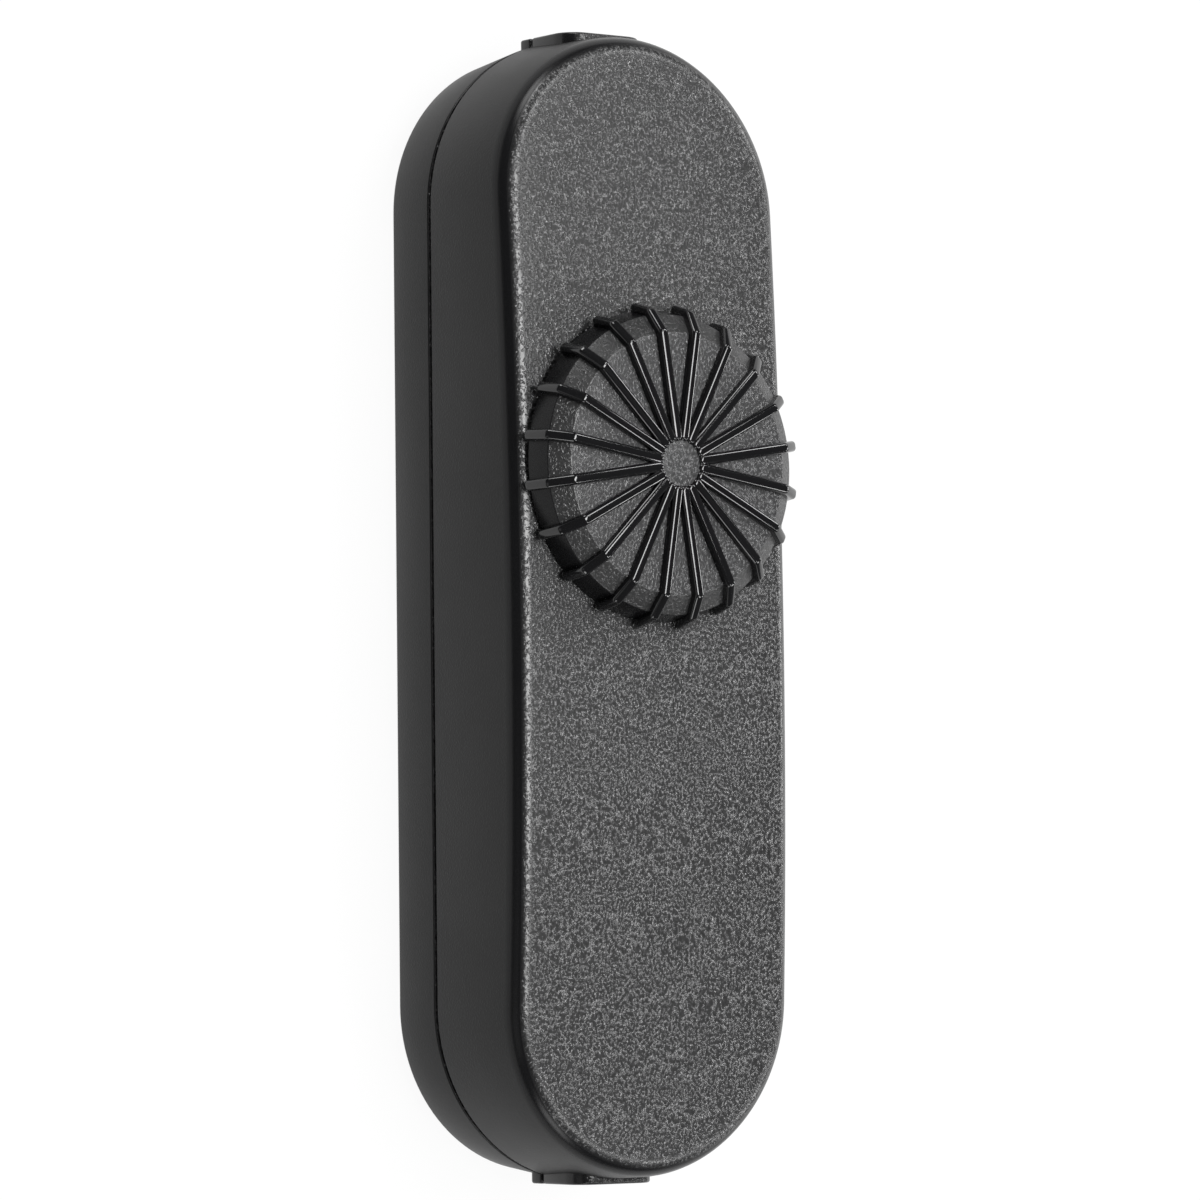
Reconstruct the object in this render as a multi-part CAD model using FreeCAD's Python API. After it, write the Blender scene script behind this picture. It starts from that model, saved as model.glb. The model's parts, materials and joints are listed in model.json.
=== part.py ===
import FreeCAD, Part
import math
import os

from FreeCAD import Vector

# Rotary cord dimmer, in millimetres, lying on its flat back.
# X runs across the body, +Y towards the end that the knob is nearer to, and Z
# from the flat back (z = 0) up to the knob.

# Sides of the round forms that are drawn with flats to keep the facets few
lead_sides = 6
bar_sides = 12
disc_sides = 24
end_sides = 12
crown_sides = 9
knob_sides = 60

# Body: a drafted obround of two shells under a face that is crowned along Y
body_width = 32.0
body_length = 104.0
body_thickness = 19.3
parting_height = 7.1
crown_radius = 658.0
crown_peak_y = -6.5
wall = 1.8
front_draft = 3.2
rear_draft = 6.5
face_edge_radius = 1.8
back_edge_radius = 0.5
parting_groove = 0.4
lip_offset = 0.95
lip_thickness = 0.8
lip_height = 1.4
fit_gap = 0.1

# Cord inlets: a rounded boss at each end, split by the parting line
inlet_width = 8.4
inlet_height = 7.6
inlet_low_z = 5.6
inlet_front_radius = 1.9
inlet_back_radius = 0.5
inlet_reach = 0.5
inlet_depth = 6.0
cord_bore_radius = 2.8
saddle_height = 0.8

# Housing screws, driven from the back into posts of the front housing
post_inset = 6.0
post_end = 13.5
post_radius = 2.9
screw_radius = 1.3
screw_head_radius = 2.3
screw_head_height = 1.5
screw_sink = 1.5
screw_bite = 6.5
screw_clearance = 0.2
pilot_clearance = 0.05
pilot_end_gap = 0.5
recess_span_share = 1.3
recess_arm_share = 0.32

# Cord clamps, one behind each inlet
clamp_end = 8.5
clamp_screw_share = 0.52
clamp_post_radius = 2.2
clamp_thickness = 2.0
clamp_width = 4.4
clamp_ridge = 0.5
clamp_screw_radius = 1.05
clamp_head_radius = 2.0
clamp_head_height = 1.3
clamp_screw_bite = 6.0
clamp_squeeze = 0.2
cord_rib_thickness = 1.6

# Knob: a hollow moulding whose ribs bend over the chamfer down to the rim
knob_y = 12.2
knob_gap = 0.35
knob_flat_radius = 11.8
knob_chamfer_run = 1.73
knob_side_lean = 0.54
knob_shoulder_height = 2.3
knob_height = 3.5
knob_disc_radius = 2.17
knob_disc_height = 0.45
knob_wall = 1.2
knob_rib_count = 20
knob_rib_width = 1.0
knob_rib_height = 0.7
knob_rib_round = 0.3
knob_hub_radius = 4.9
knob_web_thickness = 1.0
knob_hub_gap = 0.3
collar_wall = 1.6
collar_depth = 2.0
collar_gap = 0.2
hub_clearance = 0.35

# Circuit board, trapped between the pillars of the two shells
board_margin = 3.3
board_end_gap = 0.6
board_thickness = 1.6
board_height = 4.6
board_corner = 1.0
board_slot_gap = 0.3
pillar_inset = 1.4
pillar_low_end = 3.2
pillar_high_end = 9.7
pillar_radius = 1.3

# Potentiometer with its switch, under the knob
switch_side_gap = 2.45
switch_tag_share = 0.6
wafer_overhang = 0.6
wafer_thickness = 1.2
wafer_tail_reach = 3.0
can_overhang = 0.2
can_height = 3.4
can_wall = 0.5
bush_radius = 3.9
bush_height = 1.2
shaft_radius = 3.0
shaft_flat = 1.5
shaft_running_fit = 0.05
shaft_tail_radius = 1.5
shaft_tail_length = 2.2
shaft_end_gap = 0.3
rotor_side_gap = 1.1
rotor_thickness = 1.6
rotor_arm_height = 0.5
rotor_gap = 0.4
lug_pitch = 4.0
lug_width = 1.2
lug_thickness = 0.5

# Component leads
lead_radius = 0.3
lead_hole_radius = 0.45
lead_tail = 0.9
lead_root_share = 0.4

# Triac on its heat sink
triac_side = 5.3
triac_width = 10.0
triac_tab_length = 6.3
triac_tab_thickness = 1.3
triac_body_length = 9.2
triac_body_thickness = 4.4
triac_end = 6.4
triac_hole_radius = 1.8
triac_lead_pitch = 2.54
triac_lead_run = 2.6
triac_lead_height = 2.2
triac_body_chamfer = 0.4
sink_width = 10.2
sink_length = 16.0
sink_thickness = 1.2
sink_fin_height = 8.0
sink_fin_gap = 0.3
sink_bend_radius = 0.8
sink_screw_radius = 1.45
sink_head_radius = 2.7
sink_head_height = 2.0
sink_nut_flats = 5.5
sink_nut_height = 2.0
sink_screw_tail = 0.3

# Suppression choke
choke_end = 12.8
choke_side_gap = 0.5
choke_sink_gap = 0.9
choke_core_share = 0.6
choke_core_height = 5.0
choke_winding_thickness = 0.8
choke_winding_sweep = 300.0
choke_winding_gap = 0.05
choke_lead_turn = 8.0

# Capacitors, diac and resistors
capacitor_side_gap = 0.45
capacitor_edge = 0.5
film_capacitor_y = -2.4
film_capacitor_depth = 4.8
film_capacitor_reach = 0.2
film_capacitor_headroom = 1.4
film_capacitor_lead_inset = 1.25
timing_capacitor_y = 2.4
timing_capacitor_width = 7.2
timing_capacitor_depth = 2.5
timing_capacitor_height = 6.5
timing_capacitor_pitch = 5.0
diac_y = -0.3
diac_radius = 0.95
diac_length = 4.0
diac_span = 7.6
resistor_inset = 1.7
resistor_drop = 2.0
resistor_radius = 1.15
resistor_length = 6.4
resistor_span = 10.0
axial_lift = 0.4

# Fuse across the board in two spring clips
fuse_end = 4.2
fuse_radius = 2.6
fuse_tube_radius = 2.35
fuse_cap_wall = 0.3
fuse_length = 20.0
fuse_cap_length = 4.6
fuse_height = 3.5
clip_width = 3.6
clip_thickness = 0.4
clip_foot_share = 0.7
clip_mouth_share = 0.6

# Terminal blocks, one at each end of the board
terminal_post_gap = 6.7
terminal_width = 16.0
terminal_depth = 8.0
terminal_pad = 1.6
terminal_low_z = 5.2
terminal_pitch = 8.0
cage_width = 5.0
cage_depth = 6.0
cage_height = 6.6
link_inset = 1.0
cage_inset = 0.6
cage_gap = 0.2
core_hole_width = 2.6
terminal_screw_radius = 1.2
terminal_screw_length = 3.6
terminal_slot = 0.6
rib_thickness = 1.5
link_radius = 0.5

# Levels that follow from the sizes above
front_low = parting_height + parting_groove / 2
rear_top = parting_height - parting_groove / 2
inlet_axis_z = inlet_low_z + inlet_height / 2
saddle_top = parting_height + saddle_height
board_top = board_height + board_thickness
lead_end = board_height - lead_tail
clamp_seat = inlet_axis_z - cord_bore_radius - clamp_squeeze
far = 3 * body_thickness

# Places that follow from the body's outline
post_x = body_width / 2 - post_inset
post_y = body_length / 2 - post_end
clamp_y = body_length / 2 - clamp_end
clamp_screw_x = post_x * clamp_screw_share
terminal_y = post_y - terminal_post_gap
board_width = body_width - 2 * board_margin
board_length = 2 * (terminal_y - terminal_depth / 2 - board_end_gap)
pillar_x = board_width / 2 - pillar_inset
pillar_low_y = pillar_low_end - board_length / 2
pillar_high_y = board_length / 2 - pillar_high_end
knob_shoulder_radius = knob_flat_radius + knob_chamfer_run
knob_rim_radius = knob_shoulder_radius + knob_side_lean
resistor_x = board_width / 2 - resistor_inset
switch_radius = resistor_x - resistor_radius - switch_side_gap
wafer_radius = switch_radius + wafer_overhang
wafer_tail = wafer_radius + wafer_tail_reach
can_radius = wafer_radius + can_overhang
rotor_radius = can_radius - can_wall - rotor_side_gap
triac_x = board_width / 2 - triac_side
triac_tab_y = triac_end - board_length / 2
triac_screw_y = triac_tab_y + triac_tab_length / 2
choke_outer = (board_width - sink_width - choke_side_gap - choke_sink_gap) / 2
choke_core_outer = choke_outer - choke_winding_thickness
choke_core_inner = choke_core_outer * choke_core_share
choke_x = choke_outer + choke_side_gap - board_width / 2
choke_y = choke_end - board_length / 2
film_capacitor_width = board_width / 2 - film_capacitor_reach
film_capacitor_x = capacitor_side_gap + (film_capacitor_width - board_width) / 2
film_capacitor_centre = (film_capacitor_x, film_capacitor_y)
film_capacitor_pitch = film_capacitor_width - 2 * film_capacitor_lead_inset
timing_capacitor_x = capacitor_side_gap + (timing_capacitor_width - board_width) / 2
timing_capacitor_centre = (timing_capacitor_x, timing_capacitor_y)
diac_centre = (triac_x, diac_y)
resistor_y = knob_y - resistor_drop
fuse_y = board_length / 2 - fuse_end


def crown_height(y):
    """Height of the crowned face above the flat back at a place along Y."""
    across = y - crown_peak_y
    return body_thickness - crown_radius + math.sqrt(crown_radius ** 2 - across ** 2)


knob_face = crown_height(knob_y)
knob_rim_z = knob_face + knob_gap
knob_shoulder_z = knob_rim_z + knob_shoulder_height
knob_top_z = knob_rim_z + knob_height
knob_roof_z = knob_top_z - knob_wall
collar_low = knob_face - wall - collar_depth
can_top = collar_low - collar_gap
can_low = can_top - can_height
wafer_low = can_low - wafer_thickness
switch_height = wafer_low - board_top
rotor_low = can_low + rotor_gap
knob_hub_low = can_top + bush_height + knob_hub_gap
shaft_top = knob_roof_z - shaft_end_gap
film_capacitor_height = crown_height(film_capacitor_y) - wall - film_capacitor_headroom - board_top
terminal_top = crown_height(terminal_y + terminal_depth / 2) - wall - terminal_pad


def cylinder(x, y, z, radius, height):
    """Upright cylinder standing on height z."""
    return Part.makeCylinder(radius, height, Vector(x, y, z))


def block(x, y, z, width, depth, height):
    """Upright block centred on x and y, standing on height z."""
    return Part.makeBox(width, depth, height, Vector(x - width / 2, y - depth / 2, z))


def span(x, y, z_low, z_high, width, depth):
    """Upright block between two heights."""
    return block(x, y, z_low, width, depth, z_high - z_low)


def corners(x, y, z, radius, sides):
    """Closed ring of corners on a level circle."""
    turns = [math.radians(360 * step / sides) for step in range(sides + 1)]
    return [Vector(x + radius * math.cos(turn), y + radius * math.sin(turn), z) for turn in turns]


def drum(x, y, z, radius, height, sides):
    """Upright bar with flat sides whose corners lie on the radius."""
    outline = Part.makePolygon(corners(x, y, z, radius, sides))
    return Part.Face(outline).extrude(Vector(0, 0, height))


def hole(x, y, z, radius, height, sides):
    """Upright bar with flat sides that touch the radius, for cutting."""
    return drum(x, y, z, radius / math.cos(math.pi / sides), height, sides)


def lying(x, y, z, radius, length, sides):
    """Bar with flat sides along +X."""
    bar = drum(0, 0, 0, radius, length, sides)
    bar.rotate(Vector(0, 0, 0), Vector(0, 1, 0), 90)
    bar.translate(Vector(x, y, z))
    return bar


def many_sided(points, y, sides):
    """Upright solid with flat sides through a list of radii and heights."""
    rings = [Part.makePolygon(corners(0, y, z, radius, sides)) for radius, z in points]
    return Part.makeLoft(rings, True, True)


def fused(shapes):
    """One shape from several that meet."""
    first, rest = shapes[0], shapes[1:]
    return first.fuse(rest).removeSplitter() if rest else first


def group(shapes):
    """Separate solids that share one node."""
    return Part.makeCompound(shapes)


def obround(inset_low, inset_high, z_low, z_high):
    """Obround solid whose walls lean from one inset to another."""
    low = body_width / 2 - inset_low
    high = body_width / 2 - inset_high
    centre = (body_length - body_width) / 2
    ends = [Part.makeCone(low, high, z_high - z_low, Vector(0, side * centre, z_low)) for side in (-1, 1)]
    spots = [Vector(-low, -centre, z_low), Vector(low, -centre, z_low), Vector(high, -centre, z_high),
             Vector(-high, -centre, z_high)]
    middle = Part.Face(Part.makePolygon(spots + spots[:1])).extrude(Vector(0, 2 * centre, 0))
    return middle.fuse(ends).removeSplitter()


def inner_obround(inset_low, inset_high, z_low, z_high):
    """The same solid with flats round its ends, for the faces inside the shells."""
    outlines = []
    centre = (body_length - body_width) / 2
    for inset, z in ((inset_low, z_low), (inset_high, z_high)):
        ring = corners(0, 0, z, body_width / 2 - inset, 2 * end_sides)
        upper = [spot + Vector(0, centre, 0) for spot in ring[:end_sides + 1]]
        lower = [spot - Vector(0, centre, 0) for spot in ring[end_sides:]]
        outlines.append(Part.makePolygon(upper + lower + upper[:1]))
    return Part.makeLoft(outlines, True, True)


def draft_inset(draft, rise):
    return rise * math.tan(math.radians(draft))


def below_crown():
    """Everything under the crowned face."""
    reach = body_length
    ends = [Vector(-far, side * reach, crown_height(side * reach)) for side in (-1, 1)]
    peak = Vector(-far, crown_peak_y, body_thickness)
    feet = [Vector(-far, side * reach, -far) for side in (1, -1)]
    edges = [
        Part.Arc(ends[0], peak, ends[1]).toShape(),
        Part.LineSegment(ends[1], feet[0]).toShape(),
        Part.LineSegment(feet[0], feet[1]).toShape(),
        Part.LineSegment(feet[1], ends[0]).toShape(),
    ]
    return Part.Face(Part.Wire(edges)).extrude(Vector(2 * far, 0, 0))


def below_ceiling(drop):
    """Everything under a ceiling of level-sided flats that follows the crowned face, lowered by drop."""
    step = body_length / crown_sides
    places = [(index - crown_sides / 2) * step for index in range(crown_sides + 1)]
    spots = [Vector(-far, y, crown_height(y) - drop) for y in places]
    spots += [Vector(-far, side * body_length / 2, -far) for side in (1, -1)]
    return Part.Face(Part.makePolygon(spots + spots[:1])).extrude(Vector(2 * far, 0, 0))


def front_form(offset, z_low):
    """Form of the front housing, drawn in on every side by offset."""
    z_high = body_thickness + wall
    low = offset + draft_inset(front_draft, z_low - parting_height)
    high = offset + draft_inset(front_draft, z_high - parting_height)
    if offset:
        return inner_obround(low, high, z_low, z_high).common(below_ceiling(offset))
    return obround(low, high, z_low, z_high).common(below_crown())


def rear_form(offset, z_low, z_high):
    """Form of the rear cover between two heights, drawn in by offset."""
    low = offset + draft_inset(rear_draft, parting_height - z_low)
    high = offset + draft_inset(rear_draft, parting_height - z_high)
    make = inner_obround if offset else obround
    return make(low, high, z_low, z_high)


def edges_of_face(shape, normal):
    """Edges round the largest face that looks along normal."""
    def looks(face):
        u_low, u_high, v_low, v_high = face.ParameterRange
        return face.normalAt((u_low + u_high) / 2, (v_low + v_high) / 2).dot(normal) > 0.99
    faces = [face for face in shape.Faces if looks(face)]
    return max(faces, key=lambda face: face.Area).Edges


def wall_edges(shape, z):
    """Edges that end the walls above a height."""
    walls = [face for face in shape.Faces if face.BoundBox.ZMin < z and face.BoundBox.ZMax > z]
    return [edge for face in walls for edge in face.Edges if edge.BoundBox.ZMin > z]


def soften(form, radius):
    """Round the edge of the crowned face with three flats that touch a circle of the radius."""
    up = Vector(0, 0, 1)
    form = form.makeChamfer(radius * (2 - math.sqrt(2)), edges_of_face(form, up))
    rest = radius * (math.tan(math.radians(22.5)) - math.tan(math.radians(11.25)))
    form = form.makeChamfer(rest, edges_of_face(form, up))
    return form.makeChamfer(rest, wall_edges(form, parting_height + saddle_height))


def rounded_section(width, low, high, radius_low, radius_high, y):
    """Upright rounded rectangle in the plane across Y."""
    half = width / 2
    slant = 1 - math.sqrt(0.5)
    points = [
        Vector(-half + radius_low, y, low), Vector(half - radius_low, y, low),
        Vector(half - radius_low * slant, y, low + radius_low * slant),
        Vector(half, y, low + radius_low), Vector(half, y, high - radius_high),
        Vector(half - radius_high * slant, y, high - radius_high * slant),
        Vector(half - radius_high, y, high), Vector(-half + radius_high, y, high),
        Vector(-half + radius_high * slant, y, high - radius_high * slant),
        Vector(-half, y, high - radius_high), Vector(-half, y, low + radius_low),
        Vector(-half + radius_low * slant, y, low + radius_low * slant),
    ]
    edges = []
    for start in range(0, len(points), 3):
        edges.append(Part.LineSegment(points[start], points[start + 1]).toShape())
        corner = [points[start + 1], points[start + 2], points[(start + 3) % len(points)]]
        edges.append(Part.Arc(*corner).toShape())
    return Part.Face(Part.Wire(edges))


def inlet_boss(side):
    """Rounded boss that leads the cord in at one end."""
    inner = side * (body_length / 2 - inlet_depth)
    length = side * (inlet_depth + inlet_reach)
    high = inlet_low_z + inlet_height
    section = rounded_section(inlet_width, inlet_low_z, high, inlet_back_radius, inlet_front_radius, inner)
    return section.extrude(Vector(0, length, 0))


def cord_bore(side):
    """Round bore along the boss, run out past both ends."""
    start = side * (body_length / 2 + inlet_reach + wall)
    length = inlet_depth + inlet_reach + 2 * wall
    return Part.makeCylinder(cord_bore_radius, length, Vector(0, start, inlet_axis_z), Vector(0, -side, 0))


def slab(z_low, z_high):
    """Everything between two heights."""
    reach = 2 * body_length
    return block(0, 0, z_low, reach, reach, z_high - z_low)


def post_spots():
    return [(x, y) for x in (-post_x, post_x) for y in (-post_y, post_y)]


def pillar_spots():
    return [(x, y) for x in (-pillar_x, pillar_x) for y in (pillar_low_y, pillar_high_y)]


def clamp_spots(side):
    return [(x, side * clamp_y) for x in (-clamp_screw_x, clamp_screw_x)]


def front_housing():
    form = front_form(0, front_low)
    form = soften(form, face_edge_radius)
    shell = form.cut(front_form(wall, front_low - 1))
    rebate = rear_form(lip_offset - fit_gap, front_low - 1, parting_height)
    rebate = rebate.fuse(front_form(lip_offset - fit_gap, parting_height))
    rebate = rebate.common(slab(0, parting_height + lip_height + fit_gap))
    shell = shell.cut(rebate)
    inner = [drum(x, y, parting_height, post_radius, far, bar_sides) for x, y in post_spots()]
    inner += [drum(x, y, board_top, pillar_radius, far, lead_sides) for x, y in pillar_spots()]
    inner.append(drum(0, knob_y, collar_low, collar_radius(), far, disc_sides))
    for side in (-1, 1):
        for x, y in clamp_spots(side):
            inner.append(drum(x, y, clamp_seat, clamp_post_radius, far, bar_sides))
        rib_low = inlet_axis_z + cord_bore_radius
        inner.append(block(0, side * clamp_y, rib_low, 2 * clamp_screw_x, cord_rib_thickness, far))
        for x in (-terminal_pitch / 2, terminal_pitch / 2):
            inner.append(block(x, side * terminal_y, terminal_top, rib_thickness, terminal_depth, far))
    inner = inner[0].fuse(inner[1:]).common(front_form(wall / 2, clamp_seat))
    bosses = [inlet_boss(side).common(slab(front_low, far)) for side in (-1, 1)]
    shell = shell.fuse([inner] + bosses)
    cuts = [hole(0, knob_y, 0, knob_hub_radius + hub_clearance, far, disc_sides)]
    for x, y in post_spots():
        depth = parting_height + screw_bite + pilot_end_gap
        cuts.append(hole(x, y, 0, screw_radius + pilot_clearance, depth, bar_sides))
    for side in (-1, 1):
        cuts.append(cord_bore(side))
        slot_y = side * (body_length / 2)
        cuts.append(span(0, slot_y, 0, inlet_axis_z, 2 * cord_bore_radius, 2 * (inlet_depth + wall)))
        for x, y in clamp_spots(side):
            depth = clamp_seat + clamp_screw_bite
            cuts.append(hole(x, y, 0, clamp_screw_radius + pilot_clearance, depth, bar_sides))
    return shell.cut(cuts)


def collar_radius():
    return knob_hub_radius + hub_clearance + collar_wall


def rear_cover():
    form = rear_form(0, 0, rear_top)
    form = form.makeChamfer(back_edge_radius, edges_of_face(form, Vector(0, 0, -1)))
    shell = form.cut(rear_form(wall, wall, parting_height))
    lip = rear_form(lip_offset, wall, parting_height).fuse(front_form(lip_offset, parting_height))
    lip = lip.common(slab(rear_top - wall, parting_height + lip_height))
    inside = lip_offset + lip_thickness
    bowl = rear_form(inside, wall, parting_height).fuse(front_form(inside, parting_height))
    lip = lip.cut(bowl)
    lip_gate = [block(0, side * body_length / 2, rear_top, inlet_width + 2 * fit_gap, 2 * inlet_depth, far)
                for side in (-1, 1)]
    lip = lip.cut(lip_gate)
    parts = [shell, lip]
    for x, y in post_spots():
        parts.append(drum(x, y, wall / 2, post_radius, parting_height - wall / 2, bar_sides))
    for x, y in pillar_spots():
        parts.append(drum(x, y, wall / 2, pillar_radius, board_height - wall / 2, lead_sides))
    for side in (-1, 1):
        parts.append(inlet_boss(side).common(slab(0, rear_top)))
        middle = side * (body_length / 2 + inlet_reach / 2 - inlet_depth / 2)
        length = inlet_depth + inlet_reach
        saddle_width = 2 * (cord_bore_radius - fit_gap)
        seat_width = inlet_width - 2 * inlet_back_radius
        parts.append(span(0, middle, wall / 2, rear_top, seat_width, length - 2 * wall))
        parts.append(span(0, middle, inlet_low_z + inlet_back_radius, saddle_top, saddle_width, length))
        parts.append(span(0, side * terminal_y, wall / 2, terminal_low_z, rib_thickness, terminal_depth))
    cover = parts[0].fuse(parts[1:])
    cuts = [cord_bore(side) for side in (-1, 1)]
    for x, y in post_spots():
        cuts.append(hole(x, y, -1, screw_radius + screw_clearance, parting_height + 2, bar_sides))
        recess = screw_sink + screw_head_height
        cuts.append(hole(x, y, -1, screw_head_radius + screw_clearance, recess + 1, disc_sides))
    return cover.cut(cuts).removeSplitter()


def cross_recess(x, y, z, radius, depth):
    """Cross slot in a screw head that looks down."""
    arm = radius * recess_arm_share
    reach = radius * recess_span_share
    return block(x, y, z, reach, arm, depth).fuse(block(x, y, z, arm, reach, depth))


def pan_screw(x, y, seat, head_radius, head_height, radius, length, sides):
    """Screw whose head lies under the seat and whose shank points up."""
    head = drum(x, y, seat - head_height, head_radius, head_height, sides)
    screw = head.fuse(drum(x, y, seat, radius, length, bar_sides))
    return screw.cut(cross_recess(x, y, seat - head_height, head_radius, head_height / 2))


def housing_screws():
    seat = screw_sink + screw_head_height
    length = parting_height + screw_bite - seat
    sizes = (screw_head_radius, screw_head_height, screw_radius, length, disc_sides)
    return group([pan_screw(x, y, seat, *sizes) for x, y in post_spots()])


def cord_clamp(side):
    y = side * clamp_y
    low = clamp_seat - clamp_thickness
    half = clamp_screw_x
    bar = block(0, y, low, 2 * half, clamp_width, clamp_thickness)
    bar = bar.fuse([drum(x, y, low, clamp_width / 2, clamp_thickness, bar_sides) for x in (-half, half)])
    ridge = block(0, y, low, cord_bore_radius * 1.5, clamp_width / 3, clamp_thickness + clamp_ridge)
    bar = bar.fuse(ridge)
    holes = [hole(x, y, low - 1, clamp_screw_radius + screw_clearance, clamp_thickness + 2, bar_sides)
             for x in (-half, half)]
    return bar.cut(holes).removeSplitter()


def clamp_screws():
    seat = clamp_seat - clamp_thickness
    length = clamp_thickness + clamp_screw_bite - pilot_end_gap
    sizes = (clamp_head_radius, clamp_head_height, clamp_screw_radius, length, bar_sides)
    return group([pan_screw(x, y, seat, *sizes) for side in (-1, 1) for x, y in clamp_spots(side)])


def knob_profile():
    """Radii and heights of the knob's outer skin, from rim to flat top."""
    return [
        (knob_rim_radius, knob_rim_z),
        (knob_shoulder_radius, knob_shoulder_z),
        (knob_flat_radius, knob_top_z),
    ]


def knob_rib():
    """One rib along +X: out over the flat, over the chamfer and down to the rim."""
    skin = knob_profile()
    root = knob_wall / 2
    rise = knob_rib_height
    start = knob_disc_radius - root / 2
    crest = [
        (start, knob_top_z + rise),
        (knob_flat_radius - rise / 2, knob_top_z + rise),
        (knob_flat_radius + rise, knob_top_z + rise / 2),
        (knob_shoulder_radius + rise / 2, knob_shoulder_z + rise),
        (knob_shoulder_radius + rise, knob_shoulder_z - rise / 2),
        (knob_rim_radius + rise, knob_rim_z),
    ]
    foot = [(skin[0][0] - root, knob_rim_z), (skin[1][0] - root, knob_shoulder_z - root / 2),
            (skin[2][0] - root / 2, knob_top_z - root), (start, knob_top_z - root)]
    half = knob_rib_width / 2
    spots = [Vector(radius, knob_y - half, z) for radius, z in crest + foot]
    rib = Part.Face(Part.makePolygon(spots + spots[:1])).extrude(Vector(0, knob_rib_width, 0))
    return rib.makeChamfer(knob_rib_round, [edge for edge in rib.Edges if is_crest(edge, crest)])


def is_crest(edge, crest):
    """Edge on one side of the rib that runs along its crest."""
    middle = edge.CenterOfMass
    for (radius, z), (next_radius, next_z) in zip(crest, crest[1:]):
        apart = math.hypot(middle.x - (radius + next_radius) / 2, middle.z - (z + next_z) / 2)
        if apart < knob_rib_round / 10 and abs(middle.y - knob_y) > knob_rib_width / 3:
            return True
    return False


def knob():
    outside = many_sided(knob_profile(), knob_y, knob_sides)
    hollow = many_sided([
        (knob_rim_radius - knob_wall, knob_rim_z - 1),
        (knob_rim_radius - knob_wall, knob_rim_z),
        (knob_shoulder_radius - knob_wall, knob_shoulder_z - knob_wall / 2),
        (knob_flat_radius - knob_wall / 2, knob_roof_z),
    ], knob_y, disc_sides)
    shell = outside.cut(hollow)
    disc_low = knob_roof_z + knob_wall / 2
    disc = drum(0, knob_y, disc_low, knob_disc_radius, knob_wall / 2 + knob_disc_height, disc_sides)
    hub = drum(0, knob_y, knob_hub_low, knob_hub_radius, disc_low - knob_hub_low, disc_sides)
    webs = []
    for turn in range(4):
        web = span(knob_rim_radius / 2, knob_y, knob_rim_z + knob_wall / 2, knob_roof_z + knob_wall / 2,
                   knob_rim_radius - knob_wall, knob_web_thickness)
        web.rotate(Vector(0, knob_y, 0), Vector(0, 0, 1), 45 + 90 * turn)
        webs.append(web)
    webs = webs[0].fuse(webs[1:]).common(outside)
    rib = knob_rib()
    ribs = []
    for turn in range(knob_rib_count):
        copy = rib.copy()
        copy.rotate(Vector(0, knob_y, 0), Vector(0, 0, 1), (turn + 0.5) * 360 / knob_rib_count)
        ribs.append(copy)
    solid = shell.fuse([disc, hub, webs] + ribs)
    fit = shaft_running_fit
    socket = flatted(shaft_radius + fit, shaft_flat + fit, knob_hub_low - 1, knob_roof_z)
    return solid.cut(socket)


def flatted(radius, flat, z_low, z_high):
    """Round bar with one flat, as on the spindle."""
    bar = cylinder(0, knob_y, z_low, radius, z_high - z_low)
    return bar.cut(span(flat + radius, knob_y, z_low - 1, z_high + 1, 2 * radius, 4 * radius))


def pot_shaft():
    tail = drum(0, knob_y, rotor_low - shaft_tail_length, shaft_tail_radius, shaft_tail_length, bar_sides)
    bearing = cylinder(0, knob_y, rotor_low, shaft_radius, knob_hub_low - rotor_low)
    grip = flatted(shaft_radius, shaft_flat, knob_hub_low, shaft_top)
    return fused([tail, bearing, grip])


def pot_rotor():
    disc = drum(0, knob_y, rotor_low, rotor_radius, rotor_thickness, disc_sides)
    arm_y = knob_y - (shaft_radius + rotor_radius) / 2
    arm_length = (rotor_radius - shaft_radius) / 2
    arm = block(0, arm_y, rotor_low + rotor_thickness, lug_width, arm_length, rotor_arm_height)
    return disc.fuse(arm).cut(hole(0, knob_y, 0, shaft_radius, far, disc_sides)).removeSplitter()


def pot_can():
    cup = drum(0, knob_y, can_low, can_radius, can_height, disc_sides)
    hollow = drum(0, knob_y, can_low - 1, can_radius - can_wall, can_height - can_wall + 1, disc_sides)
    return cup.cut([hollow, drum(0, knob_y, 0, bush_radius - can_wall, far, disc_sides)])


def pot_bush():
    flange = drum(0, knob_y, can_top - can_wall, bush_radius - can_wall, can_wall, disc_sides)
    tube = drum(0, knob_y, can_top, bush_radius, bush_height, disc_sides)
    return flange.fuse(tube).cut(cylinder(0, knob_y, 0, shaft_radius + shaft_running_fit, far))


def lug_spots():
    y = knob_y - wafer_tail + lug_thickness
    return [(x, y) for x in (-lug_pitch, 0, lug_pitch)]


def switch_tag_spots():
    y = knob_y + switch_radius * switch_tag_share
    return [(x, y) for x in (-lug_pitch / 2, lug_pitch / 2)]


def pot_wafer():
    disc = drum(0, knob_y, wafer_low, wafer_radius, wafer_thickness, disc_sides)
    tail_width = 2 * (lug_pitch + fit_gap) + lug_width
    tail = block(0, knob_y - wafer_tail / 2, wafer_low, tail_width, wafer_tail, wafer_thickness)
    slot = (lug_width + fit_gap, lug_thickness + fit_gap, wafer_thickness + 2)
    tail = tail.cut([block(x, y, wafer_low - 1, *slot) for x, y in lug_spots()])
    wafer = disc.fuse(tail)
    return wafer.cut(hole(0, knob_y, 0, shaft_tail_radius + hub_clearance, far, bar_sides)).removeSplitter()


def pot_lugs():
    top = can_low + rotor_gap
    return group([span(x, y, lead_end, top, lug_width, lug_thickness) for x, y in lug_spots()])


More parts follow.
